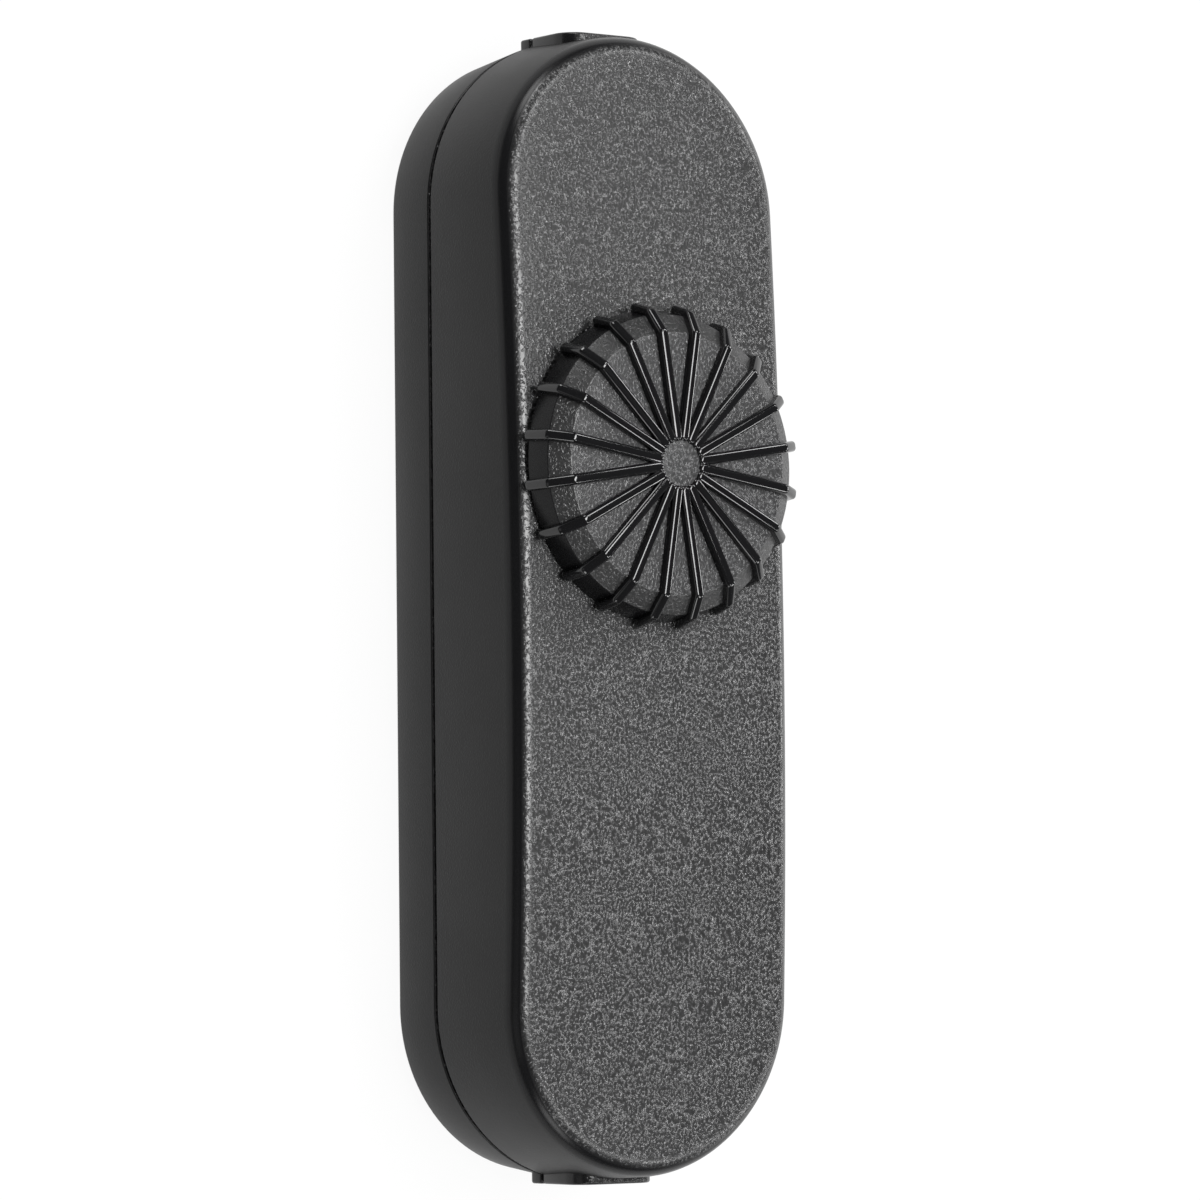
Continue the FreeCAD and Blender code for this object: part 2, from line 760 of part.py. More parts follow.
def pot_switch():
    case = drum(0, knob_y, board_top, switch_radius, switch_height, disc_sides)
    socket_low = rotor_low - shaft_tail_length - shaft_end_gap
    case = case.cut(hole(0, knob_y, socket_low, shaft_tail_radius + hub_clearance, far, bar_sides))
    notch = block(0, knob_y - switch_radius, board_top - 1, switch_radius, lug_width, switch_height + 2)
    return case.cut(notch).cut(switch_tag_slots(fit_gap))


def switch_tag_slots(gap):
    return [span(x, y, board_top - 1, board_top + switch_height / 2, lug_width + gap, lug_thickness + gap)
            for x, y in switch_tag_spots()]


def switch_tags():
    return group([span(x, y, lead_end, board_top + switch_height / 2, lug_width, lug_thickness)
                  for x, y in switch_tag_spots()])


def pair_spots(centre, pitch):
    return [(centre[0] + shift, centre[1]) for shift in (-pitch / 2, pitch / 2)]


def resistor_lead_spots():
    return [(x, resistor_y + shift) for x in (-resistor_x, resistor_x)
            for shift in (-resistor_span / 2, resistor_span / 2)]


def triac_lead_spots():
    y = triac_tab_y + triac_tab_length + triac_body_length + triac_lead_run
    return [(triac_x + shift, y) for shift in (-triac_lead_pitch, 0, triac_lead_pitch)]


def choke_lead_spots():
    reach = (choke_core_outer + choke_core_inner) / 2
    turn = math.radians((360 - choke_winding_sweep) / 2 + choke_lead_turn)
    return [(choke_x - reach * math.cos(turn), choke_y + side * reach * math.sin(turn)) for side in (-1, 1)]


def link_spots():
    reach = board_length / 2 - link_inset
    return [(x, side * reach) for side in (-1, 1) for x in (-terminal_pitch / 2, terminal_pitch / 2)]


def clip_spots():
    reach = fuse_length / 2 - fuse_cap_length / 2
    return [(-reach, fuse_y), (reach, fuse_y)]


def circuit_board():
    board = block(0, 0, board_height, board_width, board_length, board_thickness)
    upright = [edge for edge in board.Edges if abs(edge.tangentAt(edge.FirstParameter).z) > 0.99]
    board = board.makeChamfer(board_corner, upright)
    spots = pair_spots(film_capacitor_centre, film_capacitor_pitch)
    spots += pair_spots(timing_capacitor_centre, timing_capacitor_pitch)
    spots += pair_spots(diac_centre, diac_span)
    spots += resistor_lead_spots() + triac_lead_spots() + choke_lead_spots() + clip_spots()
    holes = [drum(x, y, 0, lead_hole_radius, far, lead_sides) for x, y in spots]
    holes += [drum(x, y, 0, link_radius + lead_hole_radius - lead_radius, far, lead_sides)
              for x, y in link_spots()]
    holes += [block(x, y, 0, lug_width + board_slot_gap, lug_thickness + board_slot_gap, far)
              for x, y in lug_spots() + switch_tag_spots()]
    holes.append(hole(triac_x, triac_screw_y, 0, sink_screw_radius + screw_clearance, far, bar_sides))
    return board.cut(holes)


def boxed_capacitor(centre, size, height, pitch):
    x, y = centre
    case = block(x, y, board_top, size[0], size[1], height)
    edges = [edge for edge in case.Edges if edge.CenterOfMass.z > board_top + fit_gap]
    case = case.makeChamfer(capacitor_edge, edges)
    leads = [straight_lead(spot_x, spot_y) for spot_x, spot_y in pair_spots(centre, pitch)]
    return case.fuse(leads)


def film_capacitor():
    size = (film_capacitor_width, film_capacitor_depth)
    return boxed_capacitor(film_capacitor_centre, size, film_capacitor_height, film_capacitor_pitch)


def timing_capacitor():
    size = (timing_capacitor_width, timing_capacitor_depth)
    return boxed_capacitor(timing_capacitor_centre, size, timing_capacitor_height, timing_capacitor_pitch)


def straight_lead(x, y):
    """Lead from under a part down through the board."""
    return drum(x, y, lead_end, lead_radius, board_top - lead_end, lead_sides)


def axial_part(centre, radius, length, lead_span, along_x):
    """Small part on bent leads, lying just above the board."""
    height = board_top + axial_lift + radius
    parts = [lying(-length / 2, 0, height, radius, length, bar_sides)]
    for side in (-1, 1):
        foot = Vector(side * lead_span / 2, 0, lead_end)
        knee = Vector(side * lead_span / 2, 0, height)
        root = Vector(side * length * lead_root_share, 0, height)
        parts.append(bent_lead([root, knee, foot], lead_radius))
    part = parts[0].fuse(parts[1:])
    if not along_x:
        part.rotate(Vector(0, 0, 0), Vector(0, 0, 1), 90)
    part.translate(Vector(centre[0], centre[1], 0))
    return part


def bent_lead(points, radius):
    """Wire with flat sides along three points, mitred at the bend."""
    along = (points[1] - points[0]).normalize()
    across = Vector(0, 0, 1)
    beside = along.cross(across)
    turns = [math.radians(360 * step / lead_sides) for step in range(lead_sides + 1)]
    ring_spots = [points[0] + (across * math.cos(turn) + beside * math.sin(turn)) * radius for turn in turns]
    path = Part.makePolygon(points)
    return path.makePipeShell([Part.makePolygon(ring_spots)], True, False, 1)


def diac():
    return axial_part(diac_centre, diac_radius, diac_length, diac_span, True)


def resistors():
    return group([axial_part((x, resistor_y), resistor_radius, resistor_length, resistor_span, False)
                  for x in (-resistor_x, resistor_x)])


def heat_sink():
    """Plate under the triac, bent up into a fin."""
    low = board_top
    high = low + sink_thickness
    fin_back = triac_tab_y - sink_thickness - sink_fin_gap
    fin_front = fin_back + sink_thickness
    plate_end = fin_back + sink_length
    inner = sink_bend_radius
    outer = inner + sink_thickness
    slant = 1 - math.sqrt(0.5)
    x = triac_x - sink_width / 2
    fin_top = low + sink_fin_height

    def spot(y, z):
        return Vector(x, y, z)

    edges = [
        Part.LineSegment(spot(plate_end, low), spot(fin_back + outer, low)).toShape(),
        Part.Arc(spot(fin_back + outer, low), spot(fin_back + outer * slant, low + outer * slant),
                 spot(fin_back, low + outer)).toShape(),
        Part.LineSegment(spot(fin_back, low + outer), spot(fin_back, fin_top)).toShape(),
        Part.LineSegment(spot(fin_back, fin_top), spot(fin_front, fin_top)).toShape(),
        Part.LineSegment(spot(fin_front, fin_top), spot(fin_front, high + inner)).toShape(),
        Part.Arc(spot(fin_front, high + inner), spot(fin_front + inner * slant, high + inner * slant),
                 spot(fin_front + inner, high)).toShape(),
        Part.LineSegment(spot(fin_front + inner, high), spot(plate_end, high)).toShape(),
        Part.LineSegment(spot(plate_end, high), spot(plate_end, low)).toShape(),
    ]
    plate = Part.Face(Part.Wire(edges)).extrude(Vector(sink_width, 0, 0))
    return plate.cut(hole(triac_x, triac_screw_y, 0, sink_screw_radius + screw_clearance, far, bar_sides))


def triac():
    low = board_top + sink_thickness
    tab_length = triac_tab_length + triac_body_length
    tab = block(triac_x, triac_tab_y + tab_length / 2 + sink_bend_radius / 2, low, triac_width,
                tab_length - sink_bend_radius, triac_tab_thickness)
    body_y = triac_tab_y + triac_tab_length + triac_body_length / 2
    body = block(triac_x, body_y, low, triac_width, triac_body_length, triac_body_thickness)
    top = [edge for edge in body.Edges if edge.CenterOfMass.z > low + triac_body_thickness - fit_gap]
    body = body.makeChamfer(triac_body_chamfer, top)
    parts = [tab, body]
    height = low + triac_lead_height
    for x, y in triac_lead_spots():
        root = Vector(x, body_y + triac_body_length / 2 - 1, height)
        parts.append(bent_lead([root, Vector(x, y, height), Vector(x, y, lead_end)], lead_radius))
    return fused(parts).cut(hole(triac_x, triac_screw_y, 0, triac_hole_radius, far, bar_sides))


def heat_sink_screw():
    seat = board_top + sink_thickness + triac_tab_thickness
    low = board_height - sink_nut_height - sink_screw_tail
    shank = drum(triac_x, triac_screw_y, low, sink_screw_radius, seat - low, bar_sides)
    head = drum(triac_x, triac_screw_y, seat, sink_head_radius, sink_head_height, disc_sides)
    slot_low = seat + sink_head_height / 2
    slot = block(triac_x, triac_screw_y, slot_low, 3 * sink_head_radius, terminal_slot, far)
    return shank.fuse(head).cut(slot)


def heat_sink_nut():
    low = board_height - sink_nut_height
    nut = drum(triac_x, triac_screw_y, low, sink_nut_flats / math.sqrt(3), sink_nut_height, 6)
    return nut.cut(hole(triac_x, triac_screw_y, 0, sink_screw_radius + pilot_clearance, far, bar_sides))


def choke_ring(inner, outer, low, high):
    """Ring of square section round the choke's axis."""
    outside = drum(choke_x, choke_y, low, outer, high - low, disc_sides)
    return outside.cut(drum(choke_x, choke_y, low - 1, inner, high - low + 2, disc_sides))


def choke_core():
    low = board_top + choke_winding_thickness + choke_winding_gap
    return choke_ring(choke_core_inner, choke_core_outer, low, low + choke_core_height)


def choke_winding():
    low = board_top
    high = low + choke_core_height + 2 * (choke_winding_thickness + choke_winding_gap)
    thick = choke_winding_thickness
    inner = choke_core_inner - thick - choke_winding_gap
    outer = choke_outer + choke_winding_gap
    hollow = choke_ring(inner + thick, outer - thick, low + thick, high - thick)
    centre = Vector(choke_x, choke_y, low - 1)
    half = math.radians((360 - choke_winding_sweep) / 2)
    reach = 3 * outer
    rays = [Vector(-reach * math.cos(half), side * reach * math.sin(half), 0) for side in (1, -1)]
    gate = Part.Face(Part.makePolygon([centre, centre + rays[0], centre + rays[1], centre]))
    pack = choke_ring(inner, outer, low, high).cut([hollow, gate.extrude(Vector(0, 0, far))])
    return pack.fuse([straight_lead(x, y) for x, y in choke_lead_spots()])


def fuse_bar(start, length, radius):
    """Bar on the fuse's axis, along X."""
    return lying(start, fuse_y, board_top + fuse_height, radius, length, bar_sides)


def fuse_tube():
    length = fuse_length - 2 * fuse_cap_wall
    return fuse_bar(-length / 2, length, fuse_tube_radius)


def fuse_caps():
    caps = []
    for start, pocket in ((-fuse_length / 2, 1), (fuse_length / 2 - fuse_cap_length, -1)):
        cap = fuse_bar(start, fuse_cap_length, fuse_radius)
        caps.append(cap.cut(fuse_bar(start + pocket * fuse_cap_wall, fuse_cap_length, fuse_tube_radius)))
    return group(caps)


def fuse_clips():
    height = board_top + fuse_height
    clips = []
    for x, y in clip_spots():
        outer = fuse_radius + clip_thickness
        start = x - clip_width / 2
        clip = fuse_bar(start, clip_width, outer)
        foot = span(x, y, board_top, height, clip_width, 2 * outer * clip_foot_share)
        clip = clip.fuse(foot)
        clip = clip.cut(fuse_bar(start, clip_width, fuse_radius))
        clip = clip.cut(span(x, y, height + outer * clip_mouth_share, far, 2 * clip_width, 3 * outer))
        clips.append(clip.fuse(straight_lead(x, y)))
    return group(clips)


def cage_centres(side):
    return [(x, side * terminal_y) for x in (-terminal_pitch / 2, terminal_pitch / 2)]


def core_hole(x, side, width):
    """Square way for a cord's core, along Y."""
    return block(x, side * terminal_y, inlet_axis_z - width / 2, width, 2 * terminal_depth, width)


def terminal_block(side):
    y = side * terminal_y
    body = span(0, y, terminal_low_z, terminal_top, terminal_width, terminal_depth)
    upright = [edge for edge in body.Edges if abs(edge.tangentAt(edge.FirstParameter).z) > 0.99]
    body = body.makeChamfer(capacitor_edge, upright)
    cuts = []
    for x, cage_y in cage_centres(side):
        cuts.append(span(x, cage_y, 0, terminal_low_z + cage_inset + cage_height, cage_width + 2 * cage_gap,
                         cage_depth + 2 * cage_gap))
        cuts.append(core_hole(x, side, core_hole_width + 2 * cage_gap))
    return body.cut(cuts)


def terminal_cages():
    cages = []
    for side in (-1, 1):
        for x, y in cage_centres(side):
            cage = block(x, y, terminal_low_z + cage_inset, cage_width, cage_depth, cage_height)
            screw_hole = hole(x, y, 0, terminal_screw_radius + pilot_clearance, inlet_axis_z, bar_sides)
            cages.append(cage.cut([core_hole(x, side, core_hole_width), screw_hole]))
    return group(cages)


def terminal_screws():
    screws = []
    low = terminal_low_z + cage_inset - terminal_slot
    for side in (-1, 1):
        for x, y in cage_centres(side):
            screw = drum(x, y, low, terminal_screw_radius, terminal_screw_length, bar_sides)
            slot = block(x, y, low - 1, 4 * terminal_screw_radius, terminal_slot, 1 + terminal_slot)
            screws.append(screw.cut(slot))
    return group(screws)


def link_wires():
    """Short bent wires from the terminal cages down into the board."""
    wires = []
    for x, y in link_spots():
        side = 1 if y > 0 else -1
        start = Vector(x, side * (terminal_y - cage_depth / 2), inlet_axis_z)
        wires.append(bent_lead([start, Vector(x, y, inlet_axis_z), Vector(x, y, lead_end)], link_radius))
    return group(wires)


nodes = {
    "front_housing": front_housing,
    "rear_cover": rear_cover,
    "housing_screws": housing_screws,
    "knob": knob,
    "pot_shaft": pot_shaft,
    "pot_rotor": pot_rotor,
    "pot_can": pot_can,
    "pot_bush": pot_bush,
    "pot_wafer": pot_wafer,
    "pot_lugs": pot_lugs,
    "pot_switch": pot_switch,
    "switch_tags": switch_tags,
    "circuit_board": circuit_board,
    "triac": triac,
    "heat_sink": heat_sink,
    "heat_sink_screw": heat_sink_screw,
    "heat_sink_nut": heat_sink_nut,
    "choke_core": choke_core,
    "choke_winding": choke_winding,
    "film_capacitor": film_capacitor,
    "timing_capacitor": timing_capacitor,
    "diac": diac,
    "resistors": resistors,
    "fuse_tube": fuse_tube,
    "fuse_caps": fuse_caps,
    "fuse_clips": fuse_clips,
    "terminal_block_near": lambda: terminal_block(1),
    "terminal_block_far": lambda: terminal_block(-1),
    "terminal_cages": terminal_cages,
    "terminal_screws": terminal_screws,
    "link_wires": link_wires,
    "cord_clamp_near": lambda: cord_clamp(1),
    "cord_clamp_far": lambda: cord_clamp(-1),
    "clamp_screws": clamp_screws,
}

os.makedirs("parts", exist_ok=True)
for name, make in nodes.items():
    shape = make()
    shape.exportStep("parts/" + name + ".step")
    print(name, len(shape.Solids), round(shape.Volume, 2), shape.isValid())
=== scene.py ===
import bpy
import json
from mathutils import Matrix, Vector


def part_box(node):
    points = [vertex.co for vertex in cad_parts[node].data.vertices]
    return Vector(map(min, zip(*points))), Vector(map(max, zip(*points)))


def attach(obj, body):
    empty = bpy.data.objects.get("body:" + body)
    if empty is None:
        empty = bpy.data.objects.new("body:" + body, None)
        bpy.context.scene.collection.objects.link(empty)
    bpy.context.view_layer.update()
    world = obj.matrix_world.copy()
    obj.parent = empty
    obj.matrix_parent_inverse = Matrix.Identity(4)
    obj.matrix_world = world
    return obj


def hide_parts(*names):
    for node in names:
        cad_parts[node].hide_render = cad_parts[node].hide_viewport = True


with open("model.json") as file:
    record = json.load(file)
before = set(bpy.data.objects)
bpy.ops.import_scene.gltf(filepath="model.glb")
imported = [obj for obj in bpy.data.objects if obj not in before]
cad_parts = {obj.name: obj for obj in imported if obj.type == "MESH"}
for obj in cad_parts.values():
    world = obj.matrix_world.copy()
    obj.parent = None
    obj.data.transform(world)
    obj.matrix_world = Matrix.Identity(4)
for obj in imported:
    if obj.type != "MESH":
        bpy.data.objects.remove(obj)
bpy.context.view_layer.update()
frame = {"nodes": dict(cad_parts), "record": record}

import json
import math

import bmesh
import bpy
from bpy.props import FloatProperty, FloatVectorProperty, IntProperty, PointerProperty
from mathutils import Matrix, Vector

bl_info = {
    "name": "Rotary cord dimmer",
    "version": (1, 0, 0),
    "blender": (4, 5, 0),
    "location": "3D View > Sidebar > Dimmer",
    "description": "Models the housing, knob and screws of an in-line rotary dimmer",
    "category": "Add Mesh",
}

MM = 0.001
CLOSE = 0.00001
KNOB_LOW, KNOB_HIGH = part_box("knob")
SCREWS_LOW, SCREWS_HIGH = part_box("housing_screws")

# Places and sizes of hidden fittings, as the solids have them
PILLAR_PLACES = [(x, y) for x in (-11.3 * MM, 11.3 * MM) for y in (-24.0 * MM, 17.5 * MM)]
PILLAR_RADIUS = 1.3 * MM
BOARD_UNDER = 4.6 * MM
BOARD_OVER = 6.2 * MM
CLAMP_X = 5.2 * MM
CLAMP_Y = 43.5 * MM
CLAMP_LOW = 6.4 * MM
CLAMP_RADIUS = 2.2 * MM
CLAMP_PILOT_RADIUS = 1.1 * MM
CLAMP_PILOT_END = 12.4 * MM
COLLAR_LOW = 15.23 * MM
COLLAR_WALL = 1.95 * MM
HUB_PLAY = 0.35 * MM
PILOT_PLAY = 0.05 * MM
SADDLE_TOP = 7.9 * MM
SEAT_HALF = 3.7 * MM
SEAT_SHARE = 0.6

# How far cuts run past what they cut
CUT_PAST = 2 * MM
CUT_LOW = 5 * MM
SCREW_CUT_HIGH = 9 * MM
HUB_CUT_LOW = 10 * MM
HUB_CUT_HIGH = 30 * MM
GATE_HEIGHT = 3 * MM

# Radii of the rows of facets in the knob's flat
KNOB_ROWS = (4 * MM, 8 * MM)


# Sizes and colours

def size(name, description, default):
    """A length that the user may change."""
    return FloatProperty(name=name, description=description, default=default, unit="LENGTH",
                         precision=5)


def slant(name, description, default):
    """An angle that the user may change."""
    return FloatProperty(name=name, description=description, default=math.radians(default),
                         subtype="ANGLE")


def tint(name, description, default):
    """A colour that the user may change."""
    return FloatVectorProperty(name=name, description=description, default=default,
                               subtype="COLOR", size=3, min=0, max=1)


def share(name, description, default):
    """A factor from 0 to 1 that the user may change."""
    return FloatProperty(name=name, description=description, default=default, min=0, max=1,
                         subtype="FACTOR")


def power(name, description, default):
    """A lamp's power in watts that the user may change."""
    return FloatProperty(name=name, description=description, default=default, unit="POWER")


class DIMMER_PG_shell(bpy.types.PropertyGroup):
    width: size("Width", "Width of the body at the parting line", 32 * MM)
    end_y: size("End centre", "Distance of each round end's centre from the middle", 36 * MM)
    thickness: size("Thickness", "Height of the crowned face at its peak", 19.3 * MM)
    parting: size("Parting height", "Height of the parting line", 7.1 * MM)
    groove: size("Groove", "Gap between the two shells", 0.4 * MM)
    wall: size("Wall", "Wall of both shells", 1.8 * MM)
    front_draft: slant("Front draft", "Lean of the front walls", 3.2)
    rear_draft: slant("Rear draft", "Lean of the rear walls", 6.5)
    crown_radius: size("Crown radius", "Radius of the face along its length", 658 * MM)
    crown_peak: size("Crown peak", "Where the face is highest", -6.5 * MM)
    face_round: size("Face rounding", "Rounding between face and walls", 1.8 * MM)
    back_round: size("Back rounding", "Rounding between back and walls", 0.5 * MM)
    rim_round: size("Rim rounding", "Small rounding along the parting line", 0.16 * MM)
    lip_offset: size("Lip offset", "Setback of the hidden lip", 0.95 * MM)
    lip_thickness: size("Lip thickness", "Thickness of the hidden lip", 0.8 * MM)
    lip_height: size("Lip height", "Height of the lip above the parting line", 1.4 * MM)
    lip_gap: size("Lip gap", "Play round the lip", 0.1 * MM)
    end_steps: IntProperty(name="End steps", description="Facets round each end", default=63,
                           min=9, max=199)
    side_steps: IntProperty(name="Side steps", description="Facets along each side", default=18,
                            min=4, max=90)


class DIMMER_PG_inlet(bpy.types.PropertyGroup):
    width: size("Width", "Width of the cord inlet", 9.0 * MM)
    low: size("Low side", "Height of the inlet's underside", 5.3 * MM)
    top: size("Top side", "Height of the inlet's upper side", 12.85 * MM)
    axis: size("Axis", "Height of the cord's axis", 9.4 * MM)
    reach: size("Reach", "How far the inlet stands out of the body", 0.18 * MM)
    depth: size("Depth", "How far the inlet runs into the body", 6 * MM)
    top_round: size("Top rounding", "Rounding of the upper edges", 2.2 * MM)
    low_round: size("Low rounding", "Rounding of the lower edges", 0.4 * MM)
    end_round: size("End rounding", "Rounding of the end face's edges", 0.22 * MM)
    bore: size("Bore radius", "Radius of the hole for the cord", 2.8 * MM)


class DIMMER_PG_knob(bpy.types.PropertyGroup):
    centre_y: size("Centre", "Place of the knob along the body", (KNOB_LOW.y + KNOB_HIGH.y) / 2)
    flat_radius: size("Flat radius", "Radius of the flat top", 11.8 * MM)
    shoulder_radius: size("Shoulder radius", "Outer radius of the chamfer", 13.53 * MM)
    rim_radius: size("Rim radius", "Radius at the rim", 14.07 * MM)
    top: size("Top", "Height of the flat top", KNOB_HIGH.z - 0.7 * MM)
    shoulder_drop: size("Shoulder drop", "Fall of the chamfer", 1.2 * MM)
    rim_drop: size("Rim drop", "Fall from the flat to the rim", 3.5 * MM)
    hub_low: size("Hub low end", "Height of the hub's low end", KNOB_LOW.z)
    wall: size("Wall", "Wall of the knob", 1.2 * MM)
    disc_radius: size("Disc radius", "Radius of the middle disc", 2.17 * MM)
    disc_height: size("Disc height", "Height of the middle disc", 0.45 * MM)
    hub_radius: size("Hub radius", "Radius of the hub below", 4.9 * MM)
    socket_radius: size("Socket radius", "Radius of the hole for the spindle", 3.05 * MM)
    socket_flat: size("Socket flat", "Distance of the socket's flat from its middle", 1.55 * MM)
    web: size("Web", "Thickness of the webs below", 1.0 * MM)
    rib_width: size("Rib width", "Width of each rib", 1.0 * MM)
    rib_height: size("Rib height", "Height of each rib", 0.7 * MM)
    rib_round: size("Rib rounding", "Rounding of each rib's crest", 0.34 * MM)
    rib_start: size("Rib start", "Distance of the ribs' inner ends from the middle", 2.0 * MM)
    rib_count: IntProperty(name="Ribs", description="Number of ribs", default=20, min=8, max=40)


class DIMMER_PG_screw(bpy.types.PropertyGroup):
    place_x: size("Across", "Distance of each screw from the middle line", 10 * MM)
    place_y: size("Along", "Distance of each screw from the middle", 38.5 * MM)
    head_radius: size("Head radius", "Radius of the head", 2.3 * MM)
    head_low: size("Head face", "Height of the head's outer face", SCREWS_LOW.z)
    seat: size("Seat", "Height of the face the head rests on", 3.0 * MM)
    shank_radius: size("Shank radius", "Radius over the thread", 1.3 * MM)
    tip: size("Tip", "Height of the screw's end", SCREWS_HIGH.z)
    play: size("Play", "Clearance round head and shank", 0.2 * MM)
    post_radius: size("Post radius", "Radius of the posts in the shells", 2.9 * MM)
    pilot_end: size("Pilot end", "Height at which the pilot hole ends", 14.1 * MM)


class DIMMER_PG_finish(bpy.types.PropertyGroup):
    face: tint("Face", "Pebbled front face", (0.030, 0.030, 0.0306))
    wall: tint("Walls", "Finely textured walls", (0.0075, 0.0075, 0.0078))
    edge: tint("Edge", "Smooth rounded edge", (0.005, 0.005, 0.0055))
    knob: tint("Knob", "Textured top of the knob", (0.035, 0.035, 0.0358))
    chamfer: tint("Knob chamfer", "Duller chamfer of the knob", (0.013, 0.013, 0.0133))
    rib: tint("Ribs", "Glossy ribs", (0.004, 0.004, 0.0045))
    face_rough: share("Face roughness", "Roughness of the pebbled face", 0.26)
    edge_rough: share("Edge roughness", "Roughness of the rounded edge", 0.26)
    pebble: size("Pebble size", "Width of one bump of the face's grain", 0.25 * MM)
    pebble_depth: size("Pebble depth", "Depth of the face's grain", 0.10 * MM)
    pebble_creases: share("Pebble creases", "Share of creases in the grain", 0.3)
    fine: size("Fine grain", "Width of one bump of the fine grain", 0.16 * MM)
    fine_depth: size("Fine depth", "Depth of the fine grain", 0.012 * MM)


class DIMMER_PG_stage(bpy.types.PropertyGroup):
    floor: size("Floor", "Side of the floor", 8.0)
    key: power("Key", "Power of the main lamp", 3.4)
    fill: power("Fill", "Power of the side lamp", 0.12)
    rim: power("Rim", "Power of each rim lamp", 0.42)
    end: power("End", "Power of the lamp past the upper end", 1.0)
    sky: share("Sky", "Strength of the plain surroundings", 0.10)


class DIMMER_PG_all(bpy.types.PropertyGroup):
    shell: PointerProperty(type=DIMMER_PG_shell, name="Shells", description="Sizes of both shells")
    inlet: PointerProperty(type=DIMMER_PG_inlet, name="Inlets", description="Sizes of the cord inlets")
    knob: PointerProperty(type=DIMMER_PG_knob, name="Knob", description="Sizes of the knob")
    screw: PointerProperty(type=DIMMER_PG_screw, name="Screws", description="Sizes of the housing screws")
    finish: PointerProperty(type=DIMMER_PG_finish, name="Finish", description="Colours and grain")
    stage: PointerProperty(type=DIMMER_PG_stage, name="Stage", description="Floor and lamps")


# Modelling by hand, step by step

def let_go():
    """Back to object mode with nothing selected."""
    if bpy.context.object and bpy.context.object.mode != "OBJECT":
        bpy.ops.object.mode_set(mode="OBJECT")
    bpy.ops.object.select_all(action="DESELECT")


def named(name):
    """Names the new active object, puts its place in its mesh and opens it for editing."""
    piece = bpy.context.object
    piece.name = piece.data.name = name
    bpy.ops.object.transform_apply(location=True, rotation=True, scale=True)
    bpy.ops.object.mode_set(mode="EDIT")
    return piece


def choose(piece):
    """Selects one piece alone, in object mode."""
    let_go()
    piece.select_set(True)
    bpy.context.view_layer.objects.active = piece


def reopen(piece):
    """Opens one piece for editing, everything in it selected."""
    choose(piece)
    bpy.ops.object.mode_set(mode="EDIT")
    bpy.ops.mesh.select_all(action="SELECT")


def pick(kind, test):
    """Selects the vertices, edges or faces that pass the test."""
    bpy.ops.mesh.select_mode(type={"verts": "VERT", "edges": "EDGE", "faces": "FACE"}[kind])
    bpy.ops.mesh.select_all(action="DESELECT")
    mesh = bpy.context.object.data
    open_mesh = bmesh.from_edit_mesh(mesh)
    for item in getattr(open_mesh, kind):
        if test(item):
            item.select_set(True)
    open_mesh.select_flush_mode()
    bmesh.update_edit_mesh(mesh)


def middle(edge):
    """The middle of an edge."""
    return (edge.verts[0].co + edge.verts[1].co) / 2


def lies_at(edge, axis, value):
    """Whether both ends of an edge have one value along an axis: 0, 1 or 2."""
    return all(abs(corner.co[axis] - value) < CLOSE for corner in edge.verts)


def chain(name, points):
    """A line of vertices, drawn on from the first point to the last."""
    let_go()
    bpy.ops.mesh.primitive_plane_add(size=MM, location=points[0])
    piece = named(name)
    bpy.ops.mesh.select_mode(type="VERT")
    bpy.ops.mesh.select_all(action="SELECT")
    bpy.ops.mesh.merge(type="CENTER")
    for before, after in zip(points, points[1:]):
        step = Vector(after) - Vector(before)
        bpy.ops.mesh.extrude_vertices_move(TRANSFORM_OT_translate={"value": step})
    bpy.ops.mesh.select_all(action="SELECT")
    return piece


def turn(angle, steps, centre):
    """Spins what is selected anticlockwise about an upright axis."""
    bpy.ops.mesh.spin(steps=steps, angle=angle, center=centre, axis=(0, 0, -1))


def close_up(threshold=CLOSE):
    """Merges doubles and turns every face outwards."""
    bpy.ops.mesh.select_all(action="SELECT")
    bpy.ops.mesh.remove_doubles(threshold=threshold)
    bpy.ops.mesh.normals_make_consistent(inside=False)


def round_off(radius, steps):
    """Rounds the selected edges."""
    bpy.ops.mesh.bevel(offset=radius, segments=steps, affect="EDGES", clamp_overlap=False)


def swing(angle, centre):
    """Turns what is selected anticlockwise about an upright axis."""
    bpy.ops.transform.rotate(value=angle, orient_axis="Z", center_override=centre)


def slice_off(place, normal, outer, fill=True):
    """Cuts what is selected along a plane and clears the side the normal points to, or the other."""
    bpy.ops.mesh.bisect(threshold=CLOSE / 100, plane_co=place, plane_no=normal, use_fill=fill,
                        clear_outer=outer, clear_inner=not outer)


def arc(centre, height, radius, start, end, steps):
    """Points along an arc of a section, angles in radians from straight out."""
    made = []
    for step in range(steps + 1):
        angle = start + (end - start) * step / steps
        made.append((centre + radius * math.cos(angle), height + radius * math.sin(angle)))
    return made


def drum(name, x, y, low, high, radius, sides=48):
    """A closed round bar that stands upright."""
    let_go()
    bpy.ops.mesh.primitive_cylinder_add(vertices=sides, radius=radius, depth=high - low,
                                        location=(x, y, (low + high) / 2))
    return named(name)


def box(name, low, high):
    """A closed block between two corners."""
    let_go()
    low, high = Vector(low), Vector(high)
    bpy.ops.mesh.primitive_cube_add(size=1, location=(low + high) / 2, scale=high - low)
    return named(name)


def lying_bar(name, y_from, y_to, height, radius):
    """A round bar that lies along the body."""
    let_go()
    bpy.ops.mesh.primitive_cylinder_add(vertices=64, radius=radius, depth=abs(y_to - y_from),
                                        location=(0, (y_from + y_to) / 2, height),
                                        rotation=(math.pi / 2, 0, 0))
    return named(name)


